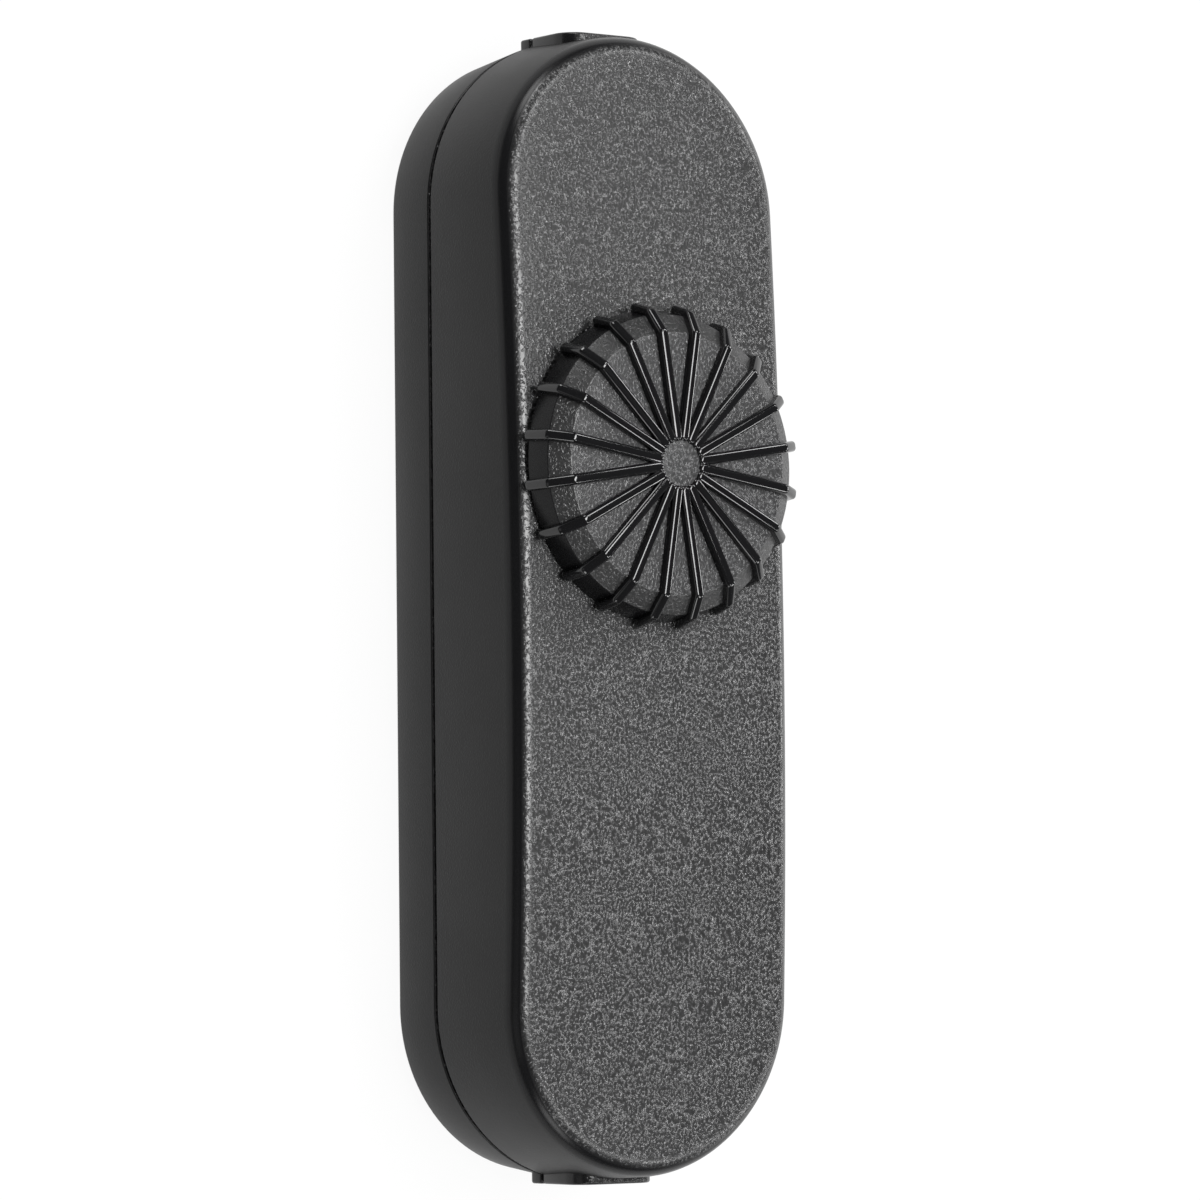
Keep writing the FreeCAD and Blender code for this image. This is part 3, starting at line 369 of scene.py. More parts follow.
def dress(piece, materials):
    """Gives a piece these materials and no others."""
    piece.data.materials.clear()
    for material in materials:
        piece.data.materials.append(material)


def joined(pieces, name):
    """One object out of several."""
    let_go()
    for piece in pieces:
        piece.select_set(True)
    bpy.context.view_layer.objects.active = pieces[0]
    bpy.ops.object.join()
    pieces[0].name = pieces[0].data.name = name
    return pieces[0]


def combine(piece, tools, operation, skin=None):
    """Adds the tools, all in one skin if given, to the piece or cuts them out, and clears them away."""
    if skin:
        for tool in tools:
            dress(tool, [skin])
    tool = joined(tools, "tool") if len(tools) > 1 else tools[0]
    choose(piece)
    cutter = piece.modifiers.new("combine", "BOOLEAN")
    cutter.operation = operation
    cutter.solver = "EXACT"
    cutter.use_self = len(tools) > 1
    cutter.material_mode = "TRANSFER"
    cutter.object = tool
    bpy.ops.object.modifier_apply(modifier=cutter.name)
    bpy.data.objects.remove(tool, do_unlink=True)


def lower_by_lattice(piece, group, drop, reach, move_at):
    """Lowers a group of vertices by a drop that varies along the body, with a lattice of many rows."""
    rows = 61
    let_go()
    bpy.ops.object.add(type="LATTICE", location=(0, 0, 0))
    cage = bpy.context.object
    cage.scale = (2 * reach, 2 * reach, 2 * reach)
    cage.data.points_u, cage.data.points_v, cage.data.points_w = 2, rows, 2
    for axis in "uvw":
        setattr(cage.data, "interpolation_type_" + axis, "KEY_LINEAR")
    for index, point in enumerate(cage.data.points):
        y = point.co.y * 2 * reach
        new_x, new_y = move_at(point.co.x * 2 * reach, y)
        point.co_deform = Vector((new_x, new_y, point.co.z * 2 * reach - drop(y))) / (2 * reach)
    choose(piece)
    bend = piece.modifiers.new("crown", "LATTICE")
    bend.object = cage
    bend.vertex_group = group
    bpy.ops.object.modifier_apply(modifier=bend.name)
    bpy.data.objects.remove(cage, do_unlink=True)
    piece.vertex_groups.clear()


def put_right(piece, body, nodes, angle=35):
    """Smooths a finished piece, ties it to its body and hides the solids it stands for."""
    choose(piece)
    bpy.ops.object.shade_smooth_by_angle(angle=math.radians(angle))
    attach(piece, body)
    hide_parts(*nodes)


# Finishes

# How far up a normal points where the face's grain begins and where it is full
FACE_GRAIN = (0.80, 0.955)
# How far up or down a normal points where the walls' grain is full and where it ends
WALL_GRAIN = (0.08, 0.35)


def node(tree, kind, settings=None, **inputs):
    """A shader node; each input takes a value or another node's output."""
    made = tree.nodes.new(kind)
    for key, value in (settings or {}).items():
        setattr(made, key, value)
    for key, value in inputs.items():
        label = key.replace("_", " ")
        socket = made.inputs[int(key[1:])] if key[1:].isdigit() else made.inputs[label]
        if isinstance(value, bpy.types.NodeSocket):
            tree.links.new(value, socket)
        else:
            socket.default_value = value
    return made


def maths(tree, operation, *values):
    """One operation on one or two values."""
    inputs = {f"_{index}": value for index, value in enumerate(values)}
    return node(tree, "ShaderNodeMath", {"operation": operation}, **inputs).outputs[0]


def ranged(tree, value, low, high, to_low=0.0, to_high=1.0, kind="LINEAR"):
    """A value's range spread over another one and cut off at both ends."""
    return node(tree, "ShaderNodeMapRange", {"interpolation_type": kind}, Value=value, From_Min=low,
                From_Max=high, To_Min=to_low, To_Max=to_high).outputs[0]


def mixed_colour(tree, part, first, second, blend="MIX"):
    """Two colours mixed, with the given part of the second."""
    return node(tree, "ShaderNodeMix", {"data_type": "RGBA", "blend_type": blend},
                _0=part, _6=first, _7=second).outputs[2]


def mixed_value(tree, part, first, second):
    """Two values mixed, with the given part of the second."""
    return node(tree, "ShaderNodeMix", {"data_type": "FLOAT"}, _0=part, _2=first, _3=second).outputs[0]


def object_noise(tree, **inputs):
    """Noise that stays with the object, in its own coordinates unless a vector is given."""
    if "Vector" not in inputs:
        inputs["Vector"] = node(tree, "ShaderNodeTexCoord").outputs["Object"]
    return node(tree, "ShaderNodeTexNoise", **inputs).outputs["Fac"]


def group_tree(name, labels, values, outputs):
    """A new node group with named inputs and outputs: its tree, its inputs and its outputs."""
    tree = bpy.data.node_groups.new(name, "ShaderNodeTree")
    for label, value in zip(labels, values):
        socket = tree.interface.new_socket(name=label, in_out="INPUT", socket_type="NodeSocketFloat")
        socket.default_value = value
    for output in outputs:
        tree.interface.new_socket(name=output, in_out="OUTPUT", socket_type="NodeSocketFloat")
    return tree, tree.nodes.new("NodeGroupInput").outputs, tree.nodes.new("NodeGroupOutput").inputs


def moulded_grain():
    """Bumps of a spark-eroded mould, as a height and as a mask of their tops."""
    tree, given, result = group_tree("Moulded grain", ("Width", "Breakup"), (0.4 * MM, 0.5),
                                     ("Height", "Tops"))
    place = node(tree, "ShaderNodeTexCoord").outputs["Object"]
    place = node(tree, "ShaderNodeVectorMath", {"operation": "MULTIPLY"}, _0=place,
                 _1=(1.0, 0.8, 1.0)).outputs[0]
    scale = maths(tree, "DIVIDE", 1.0, given["Width"])
    swell = object_noise(tree, Vector=place, Scale=scale, Detail=1.0, Roughness=0.45)
    tops = ranged(tree, swell, 0.28, 0.72)
    creases = maths(tree, "ABSOLUTE", ranged(tree, swell, 0.28, 0.72, -1.0, 1.0))
    mixed = mixed_value(tree, given["Breakup"], tops, creases)
    tree.links.new(mixed, result["Height"])
    tree.links.new(tops, result["Tops"])
    return tree


def edge_wear():
    """Where outer edges are rubbed a little brighter."""
    tree, given, result = group_tree("Edge wear", ("Amount",), (0.5,), ("Mask",))
    patches = object_noise(tree, Scale=420.0, Detail=3.0)
    sharp = node(tree, "ShaderNodeNewGeometry").outputs["Pointiness"]
    edge = ranged(tree, sharp, 0.52, 0.60)
    both = maths(tree, "MULTIPLY", edge, ranged(tree, patches, 0.35, 0.7))
    tree.links.new(maths(tree, "MULTIPLY", both, given["Amount"]), result["Mask"])
    return tree


def handling():
    """Slow drift of tone and sheen from moulding and handling."""
    tree, given, result = group_tree("Handling", ("Scale",), (60.0,), ("Drift",))
    drift = object_noise(tree, Scale=given["Scale"], Detail=4.0, Roughness=0.55)
    tree.links.new(ranged(tree, drift, 0.3, 0.7), result["Drift"])
    return tree


GROUPS = {"Moulded grain": moulded_grain, "Edge wear": edge_wear, "Handling": handling}


def shared(tree, name, **values):
    """One of the shared groups, built the first time it is asked for."""
    group = bpy.data.node_groups.get(name) or GROUPS[name]()
    made = tree.nodes.new("ShaderNodeGroup")
    made.node_tree = group
    for key, value in values.items():
        made.inputs[key].default_value = value
    return made.outputs


def bright(colour, factor):
    """A colour made brighter or darker, with its opacity."""
    return tuple(min(1.0, channel * factor) for channel in colour) + (1.0,)


def blank_material(name):
    """A new material and its empty tree."""
    material = bpy.data.materials.new(name)
    material.use_nodes = True
    material.node_tree.nodes.clear()
    return material, material.node_tree


def finish_material(name, colour, rough, grain, depth, contrast=1.6, breakup=0.5, wear=0.3,
                    metallic=0.0, specular=0.5, rough_spread=0.1):
    """A procedural finish: grain, tone drift and worn edges on one colour."""
    material, tree = blank_material(name)
    bumps = shared(tree, "Moulded grain", Width=grain, Breakup=breakup)
    worn = shared(tree, "Edge wear", Amount=wear)["Mask"]
    drift = shared(tree, "Handling")["Drift"]
    tone = mixed_colour(tree, bumps["Tops"], bright(colour, 1 / contrast), bright(colour, contrast))
    drifted = mixed_colour(tree, 0.25, tone, ranged(tree, drift, 0.0, 1.0, 0.75, 1.25), "MULTIPLY")
    rubbed = mixed_colour(tree, worn, drifted, bright(colour, 2.4))
    sheen = ranged(tree, bumps["Tops"], 0.0, 1.0, min(1.0, rough + rough_spread),
                   max(0.02, rough - rough_spread))
    bump = node(tree, "ShaderNodeBump", Height=bumps["Height"], Distance=depth).outputs[0]
    shader = node(tree, "ShaderNodeBsdfPrincipled", Base_Color=rubbed, Roughness=sheen, Normal=bump,
                  Metallic=metallic, Specular_IOR_Level=specular)
    node(tree, "ShaderNodeOutputMaterial", Surface=shader.outputs[0])
    return material


def shell_material(name, finish, wall, wall_rough, wall_grain, gloss):
    """Moulded shell: pebbled where it faces up, with painted highlight on the pebbles' tops and painted
    shade in their creases, smooth on its rounded edge, fine on its walls.
    """
    material, tree = blank_material(name)
    facing = node(tree, "ShaderNodeTexCoord").outputs["Normal"]
    up = node(tree, "ShaderNodeSeparateXYZ", Vector=facing).outputs["Z"]
    on_face = ranged(tree, up, *FACE_GRAIN, kind="SMOOTHSTEP")
    on_wall = ranged(tree, maths(tree, "ABSOLUTE", up), *WALL_GRAIN, 1.0, 0.0, "SMOOTHSTEP")
    coarse = shared(tree, "Moulded grain", Width=finish.pebble, Breakup=finish.pebble_creases)
    fine = shared(tree, "Moulded grain", Width=finish.fine, Breakup=0.2)
    worn = shared(tree, "Edge wear", Amount=0.3)["Mask"]
    drift = shared(tree, "Handling")["Drift"]
    edge = bright(finish.edge, 1)
    # Face colour: bump tops ten times lighter than the creases. This is partly the grain's own tone and
    # mostly painted highlight on the tops and painted shade in the creases, standing in for the grain's
    # lit and shaded speckle.
    grain_and_painted_speckle = mixed_colour(tree, coarse["Tops"], bright(finish.face, 0.2), bright(finish.face, 2.0))
    wall_tone = mixed_colour(tree, fine["Tops"], bright(wall, 0.75), bright(wall, 1.25))
    tone = mixed_colour(tree, on_face, edge, grain_and_painted_speckle)
    tone = mixed_colour(tree, on_wall, tone, wall_tone)
    tone = mixed_colour(tree, maths(tree, "MULTIPLY", drift, 0.14), tone, edge)
    tone = mixed_colour(tree, worn, tone, bright(finish.wall, 3.0))
    face_sheen = mixed_value(tree, coarse["Tops"], finish.face_rough + 0.05, finish.face_rough - 0.04)
    sheen = mixed_value(tree, on_face, finish.edge_rough, face_sheen)
    wall_sheen = mixed_value(tree, drift, wall_rough + 0.04, wall_rough - 0.04)
    sheen = mixed_value(tree, on_wall, sheen, wall_sheen)
    raised = maths(tree, "MULTIPLY", coarse["Height"], on_face)
    small = maths(tree, "MULTIPLY", fine["Height"], on_wall)
    small = maths(tree, "MULTIPLY", small, wall_grain / finish.pebble_depth)
    height = maths(tree, "ADD", raised, small)
    bump = node(tree, "ShaderNodeBump", Height=height, Distance=finish.pebble_depth).outputs[0]
    shader = node(tree, "ShaderNodeBsdfPrincipled", Base_Color=tone, Roughness=sheen, Normal=bump,
                  Specular_IOR_Level=gloss)
    node(tree, "ShaderNodeOutputMaterial", Surface=shader.outputs[0])
    return material


def shell_finishes(finish):
    """The shells' face, their plain sides and the glossier inlets."""
    return [
        shell_material("Housing_face", finish, finish.wall, 0.46, finish.fine_depth, 0.65),
        shell_material("Housing_side", finish, finish.wall, 0.46, finish.fine_depth, 0.25),
        shell_material("Inlet_plastic", finish, finish.edge, 0.30, finish.fine_depth * 0.3, 0.4),
    ]


# Shells

def body_end(shell):
    """Distance of the body's ends from its middle."""
    return shell.end_y + shell.width / 2


def span(side, near, far):
    """Two distances along one half of the body, side 1 or -1, in rising order."""
    return sorted((side * near, side * far))


def four_places(x, y):
    """The same place in each quarter of the body."""
    return [(across, along) for across in (-x, x) for along in (-y, y)]


def front_inset(shell, z):
    """How far the front wall has leaned in at one height."""
    return (z - shell.parting) * math.tan(shell.front_draft)


def rear_inset(shell, z):
    """How far the rear wall has leaned in at one height."""
    return (shell.parting - z) * math.tan(shell.rear_draft)


def crown_drop(shell, y):
    """How far the face has fallen from its peak at one place along the body."""
    along = y - shell.crown_peak
    return shell.crown_radius - math.sqrt(shell.crown_radius ** 2 - along ** 2)


def under_face(shell, y):
    """A height within the wall under the face, at one place along the body."""
    return shell.thickness - crown_drop(shell, y) - shell.wall / 2


def rings(reach, count=5):
    """Radii of the rows of a flat, from the middle out."""
    return [reach * step / count for step in range(count)]


def front_section(shell):
    """Section of the front shell, from the middle of its face round the rim to its ceiling."""
    half, lean, edge = shell.width / 2, shell.front_draft, shell.face_round
    low = shell.parting + shell.groove / 2
    centre_z = shell.thickness - edge
    centre = half - (edge + (centre_z - shell.parting) * math.sin(lean)) / math.cos(lean)
    points = [(radius, shell.thickness) for radius in rings(centre)]
    points += arc(centre, centre_z, edge, math.pi / 2, lean, 12)
    small = shell.rim_round
    points += arc(half - front_inset(shell, low + small) - small, low + small, small, 0, -math.pi / 2, 4)
    clear = half - shell.lip_offset + shell.lip_gap
    step = shell.parting + shell.lip_height + shell.lip_gap
    ceiling = shell.thickness - shell.wall
    inside = half - shell.wall
    points += [(clear, low), (clear - front_inset(shell, step), step),
               (inside - front_inset(shell, step), step), (inside - front_inset(shell, ceiling), ceiling)]
    points += [(radius, ceiling) for radius in reversed(rings(centre))]
    return points


def rear_section(shell):
    """Section of the rear shell, from the middle of its back round the lip to its floor."""
    half, lean, edge = shell.width / 2, shell.rear_draft, shell.back_round
    high = shell.parting - shell.groove / 2
    centre = half - (edge + (shell.parting - edge) * math.sin(lean)) / math.cos(lean)
    points = [(radius, 0) for radius in rings(centre)]
    points += arc(centre, edge, edge, -math.pi / 2, -lean, 6)
    small = shell.rim_round
    points += arc(half - rear_inset(shell, high - small) - small, high - small, small, 0, math.pi / 2, 4)
    lip = half - shell.lip_offset
    inner = lip - shell.lip_thickness
    lip_top = shell.parting + shell.lip_height
    bevel = shell.lip_gap
    inside = half - shell.wall
    points += [(lip, high), (lip - front_inset(shell, lip_top), lip_top - bevel),
               (lip - front_inset(shell, lip_top) - bevel, lip_top), (inner, lip_top), (inner, high),
               (inside - rear_inset(shell, high), high - bevel),
               (inside - rear_inset(shell, shell.wall), shell.wall)]
    points += [(radius, shell.wall) for radius in reversed(rings(centre))]
    return points


def sweep_round(name, section, shell):
    """Draws a section once round the body: end, side, end, side."""
    piece = chain(name, [(radius, shell.end_y, z) for radius, z in section])
    step = 2 * shell.end_y / shell.side_steps
    for side in (1, -1):
        turn(math.pi, shell.end_steps, (0, side * shell.end_y, 0))
        for count in range(shell.side_steps):
            bpy.ops.mesh.extrude_edges_move(TRANSFORM_OT_translate={"value": (0, -side * step, 0)})
    close_up()
    return piece


def paint_faces(piece, rules):
    """Gives faces the first material slot whose rule they pass."""
    reopen(piece)
    mesh = piece.data
    open_mesh = bmesh.from_edit_mesh(mesh)
    for face in open_mesh.faces:
        for index, rule in enumerate(rules):
            if rule(face.normal, face.calc_center_median()):
                face.material_index = index
                break
    bmesh.update_edit_mesh(mesh)
    let_go()


def inlet_block(name, shell, inlet, side):
    """The rounded block of one cord inlet, from under the cord to over it."""
    near, far = span(side, body_end(shell) - inlet.depth, body_end(shell) + inlet.reach)
    half, top = inlet.width / 2, inlet.top
    block = box(name, (-half, near, inlet.low), (half, far, top))
    for height, radius, steps in ((top, inlet.top_round, 10), (inlet.low, inlet.low_round, 5)):
        pick("edges", lambda edge: abs(middle(edge).z - height) < CLOSE
             and abs(abs(middle(edge).x) - half) < CLOSE)
        round_off(radius, steps)
    pick("edges", lambda edge: lies_at(edge, 1, side * (body_end(shell) + inlet.reach)))
    round_off(inlet.end_round, 3)
    return block


def keep_side(piece, height, above, small):
    """Cuts a piece level, closes the cut and breaks its outer edge."""
    reopen(piece)
    slice_off((0, 0, height), (0, 0, 1), not above)
    pick("edges", lambda edge: lies_at(edge, 2, height))
    round_off(small, 3)


class DIMMER_OT_front_shell(bpy.types.Operator):
    """Models the crowned front housing with its inlet halves and posts"""
    bl_idname = "dimmer.front_shell"
    bl_label = "Front housing"

    def execute(self, context):
        settings = context.scene.dimmer
        shell, inlet, screw, knob = settings.shell, settings.inlet, settings.screw, settings.knob
        piece = sweep_round("front_half", front_section(shell), shell)
        high = shell.thickness * 0.75
        self.lower_face(piece, shell, high)
        skins = shell_finishes(settings.finish)
        dress(piece, skins)
        paint_faces(piece, [
            lambda normal, centre: normal.z > FACE_GRAIN[0] and centre.z > high,
            lambda normal, centre: True,
        ])
        blocks = []
        for side in (-1, 1):
            block = inlet_block(f"inlet{side}", shell, inlet, side)
            keep_side(block, shell.parting + shell.groove / 2, True, shell.rim_round)
            blocks.append(block)
        combine(piece, blocks, "UNION", skins[2])
        posts = [drum("post", x, y, shell.parting, under_face(shell, y), screw.post_radius)
                 for x, y in four_places(screw.place_x, screw.place_y)]
        posts.append(drum("collar", 0, knob.centre_y, COLLAR_LOW, under_face(shell, knob.centre_y),
                          knob.hub_radius + COLLAR_WALL, 96))
        posts += [drum("pillar", x, y, BOARD_OVER, under_face(shell, y), PILLAR_RADIUS, 24)
                  for x, y in PILLAR_PLACES]
        posts += [drum("clamp_post", x, y, CLAMP_LOW, under_face(shell, y), CLAMP_RADIUS, 32)
                  for y in (-CLAMP_Y, CLAMP_Y) for x in (-CLAMP_X, CLAMP_X)]
        combine(piece, posts, "UNION", skins[1])
        cuts = [drum("hub_hole", 0, knob.centre_y, HUB_CUT_LOW, HUB_CUT_HIGH,
                     knob.hub_radius + HUB_PLAY, 96)]
        cuts += [drum("pilot", x, y, CUT_LOW, screw.pilot_end, screw.shank_radius + PILOT_PLAY, 32)
                 for x, y in four_places(screw.place_x, screw.place_y)]
        for side in (-1, 1):
            near, far = span(side, body_end(shell) - inlet.depth - 2 * shell.wall,
                             body_end(shell) + CUT_PAST)
            cuts.append(lying_bar("bore", near, far, inlet.axis, inlet.bore))
            cuts.append(box("slot", (-inlet.bore, near, CUT_LOW), (inlet.bore, far, inlet.axis)))
            cuts += [drum("clamp_pilot", x, side * CLAMP_Y, CUT_LOW, CLAMP_PILOT_END,
                          CLAMP_PILOT_RADIUS, 24) for x in (-CLAMP_X, CLAMP_X)]
        combine(piece, cuts, "DIFFERENCE", skins[1])
        put_right(piece, "case", ["front_housing"])
        return {"FINISHED"}

    def lower_face(self, piece, shell, high):
        """Gives the face its crown and keeps its lowered edge on the drafted wall."""
        top_radius = shell.width / 2 - front_inset(shell, shell.thickness)

        def lean_out(x, y):
            grow = 1 + crown_drop(shell, y) * math.tan(shell.front_draft) / top_radius
            past = max(0, abs(y) - shell.end_y)
            return x * grow, math.copysign(abs(y) + past * (grow - 1), y)

        let_go()
        upper = piece.vertex_groups.new(name="upper")
        upper.add([v.index for v in piece.data.vertices if v.co.z > high], 1.0, "REPLACE")
        lower_by_lattice(piece, "upper", lambda y: crown_drop(shell, y), 60 * MM, lean_out)


class DIMMER_OT_rear_shell(bpy.types.Operator):
    """Models the rear cover with its lip, inlet halves and screw wells"""
    bl_idname = "dimmer.rear_shell"
    bl_label = "Rear cover"

    def execute(self, context):
        settings = context.scene.dimmer
        shell, inlet, screw = settings.shell, settings.inlet, settings.screw
        piece = sweep_round("rear_half", rear_section(shell), shell)
        wall = bpy.data.materials["Housing_side"]
        gloss = bpy.data.materials["Inlet_plastic"]
        let_go()
        dress(piece, [wall, gloss])
        high = shell.parting - shell.groove / 2
        end = body_end(shell)
        gate = inlet.width / 2 + shell.lip_gap
        gates = []
        for side in (-1, 1):
            near, far = span(side, end - inlet.depth * 2, end + MM)
            gates.append(box("gate", (-gate, near, high), (gate, far, high + GATE_HEIGHT)))
        combine(piece, gates, "DIFFERENCE", wall)
        adds = []
        for side in (-1, 1):
            block = inlet_block(f"inlet{side}", shell, inlet, side)
            keep_side(block, high, False, shell.rim_round)
            dress(block, [gloss])
            near, far = span(side, end - inlet.depth, end + inlet.reach - 0.02 * MM)
            saddle = inlet.bore - shell.lip_gap
            tab = box("saddle", (-saddle, near, inlet.low + MM), (saddle, far, SADDLE_TOP))
            dress(tab, [gloss])
            seat = box("seat", (-SEAT_HALF, near, shell.wall / 2), (SEAT_HALF, far, high - MM))
            reopen(seat)
            bpy.ops.transform.resize(value=(1, SEAT_SHARE, 1),
                                     center_override=(0, side * (end - inlet.depth), 0))
            dress(seat, [wall])
            adds += [block, tab, seat]
        posts = [drum("post", x, y, shell.wall / 2, shell.parting, screw.post_radius)
                 for x, y in four_places(screw.place_x, screw.place_y)]
        posts += [drum("pillar", x, y, shell.wall / 2, BOARD_UNDER, PILLAR_RADIUS, 24)
                  for x, y in PILLAR_PLACES]
        for post in posts:
            dress(post, [wall])
        combine(piece, adds + posts, "UNION")
        cuts = []
        for side in (-1, 1):
            near, far = span(side, end - inlet.depth - 2 * shell.wall, end + CUT_PAST)
            cuts.append(lying_bar("bore", near, far, inlet.axis, inlet.bore))
        for x, y in four_places(screw.place_x, screw.place_y):
            cuts.append(drum("well", x, y, -MM, screw.seat, screw.head_radius + screw.play, 64))
            cuts.append(drum("hole", x, y, screw.seat - MM / 2, SCREW_CUT_HIGH,
                             screw.shank_radius + screw.play, 32))
        combine(piece, cuts, "DIFFERENCE", wall)
        put_right(piece, "case", ["rear_cover"])
        return {"FINISHED"}


# Knob

def knob_slopes(knob):
    """How steeply the chamfer and the wall below it fall."""
    return (math.atan2(knob.shoulder_drop, knob.shoulder_radius - knob.flat_radius),
            math.atan2(knob.rim_drop - knob.shoulder_drop, knob.rim_radius - knob.shoulder_radius))


def knob_section(knob):
    """Section of the knob without ribs, from its middle over the rim to the hub."""
    small, soft, broken = 0.12 * MM, 0.3 * MM, 0.2 * MM
    top, shoulder, rim = knob.top, knob.top - knob.shoulder_drop, knob.top - knob.rim_drop
    disc_top = top + knob.disc_height
    slope, steep = knob_slopes(knob)
    roof = top - knob.wall
    points = [(0, disc_top), (knob.disc_radius * 0.6, disc_top)]
    points += arc(knob.disc_radius - small, disc_top - small, small, math.pi / 2, 0, 3)
    points += [(knob.disc_radius, top)] + [(row, top) for row in KNOB_ROWS]
    bend = soft * math.tan(slope / 2)
    points += arc(knob.flat_radius - bend, top - soft, soft, math.pi / 2, math.pi / 2 - slope, 4)
    turn_half = (steep - slope) / 2
    reach = soft * math.tan(turn_half)
    before = (knob.shoulder_radius - reach * math.cos(slope), shoulder + reach * math.sin(slope))
    centre = (before[0] - soft * math.sin(slope), before[1] - soft * math.cos(slope))
    points += arc(centre[0], centre[1], soft, math.pi / 2 - slope, math.pi / 2 - steep, 5)
    points += arc(knob.rim_radius - small * 1.1, rim + small, small, math.pi / 2 - steep, -math.pi / 2, 4)
    points += [(knob.rim_radius - knob.wall, rim),
               (knob.shoulder_radius - knob.wall, shoulder - knob.wall / 2),
               (knob.flat_radius - knob.wall / 2, roof), (KNOB_ROWS[1], roof), (knob.hub_radius, roof),
               (knob.hub_radius, knob.hub_low + broken), (knob.hub_radius - broken, knob.hub_low),
               (0, knob.hub_low)]
    return points


def rib_outline(knob):
    """Side view of one rib: along its foot and back over its crest."""
    top, shoulder = knob.top, knob.top - knob.shoulder_drop
    above_rim, tip = 0.03 * MM, 0.42 * MM
    rim = knob.top - knob.rim_drop + above_rim
    slope, steep = knob_slopes(knob)
    rise, root = knob.rib_height, knob.wall / 2
    points = [(knob.rib_start, top - root), (knob.rib_start, top + rise)]
    points += [(row, top + rise) for row in KNOB_ROWS]
    points += arc(knob.flat_radius, top, rise, math.pi / 2, math.pi / 2 - slope, 5)
    points += arc(knob.shoulder_radius, shoulder, rise, math.pi / 2 - slope, math.pi / 2 - steep, 6)
    points += arc(knob.rim_radius + rise - tip, rim + tip, tip, math.pi / 2 - steep, -math.pi / 2, 7)
    points += [(knob.rim_radius - root, rim), (knob.shoulder_radius - root, shoulder - root / 2),
               (knob.flat_radius - root / 2, top - root)]
    return points


def knob_rib(knob):
    """One rib along +X, its crest and both ends rounded."""
    half = knob.rib_width / 2
    outline = [(radius, knob.centre_y - half, z) for radius, z in rib_outline(knob)]
    rib = chain("rib", outline)
    bpy.ops.mesh.edge_face_add()
    bpy.ops.mesh.extrude_region_move(TRANSFORM_OT_translate={"value": (0, knob.rib_width, 0)})
    close_up()
    pick("edges", lambda edge: lies_at(edge, 0, knob.rib_start)
         and abs(edge.verts[0].co.z - edge.verts[1].co.z) > MM)
    round_off(half * 0.94, 6)

    def on_crest(face):
        """Whether a face is part of the crest or of the outer end."""
        centre = face.calc_center_median()
        outward = face.normal.z > 0.05 or face.normal.x > 0.3
        return abs(face.normal.y) < 0.1 and (outward or centre.x > knob.rim_radius - knob.wall / 2)

    pick("edges", lambda edge: len(edge.link_faces) == 2
         and on_crest(edge.link_faces[0]) != on_crest(edge.link_faces[1]))
    round_off(knob.rib_round, 4)
    return rib


def knob_finishes(finish):
    """Finely textured top, duller chamfer, smooth wall and glossy ribs."""
    grain, depth, creases = finish.pebble * 0.9, finish.pebble_depth, finish.pebble_creases
    fine, low = finish.fine, finish.fine_depth
    return [
        finish_material("Knob_texture", finish.knob, 0.30, grain, depth * 0.7, contrast=1.9, wear=0.2,
                        breakup=creases, rough_spread=0.04, specular=0.5),
        finish_material("Knob_chamfer", finish.chamfer, 0.36, grain, depth * 0.5, contrast=1.8,
                        wear=0.2, breakup=creases, rough_spread=0.04, specular=0.7),
        finish_material("Knob_smooth", finish.edge, 0.28, fine, low * 0.2, contrast=1.2, wear=0.1,
                        rough_spread=0.04, specular=0.2),
        finish_material("Knob_rib_gloss", finish.rib, 0.10, fine, low * 0.05, contrast=1.2, wear=0.1,
                        rough_spread=0.03, specular=0.6),
    ]


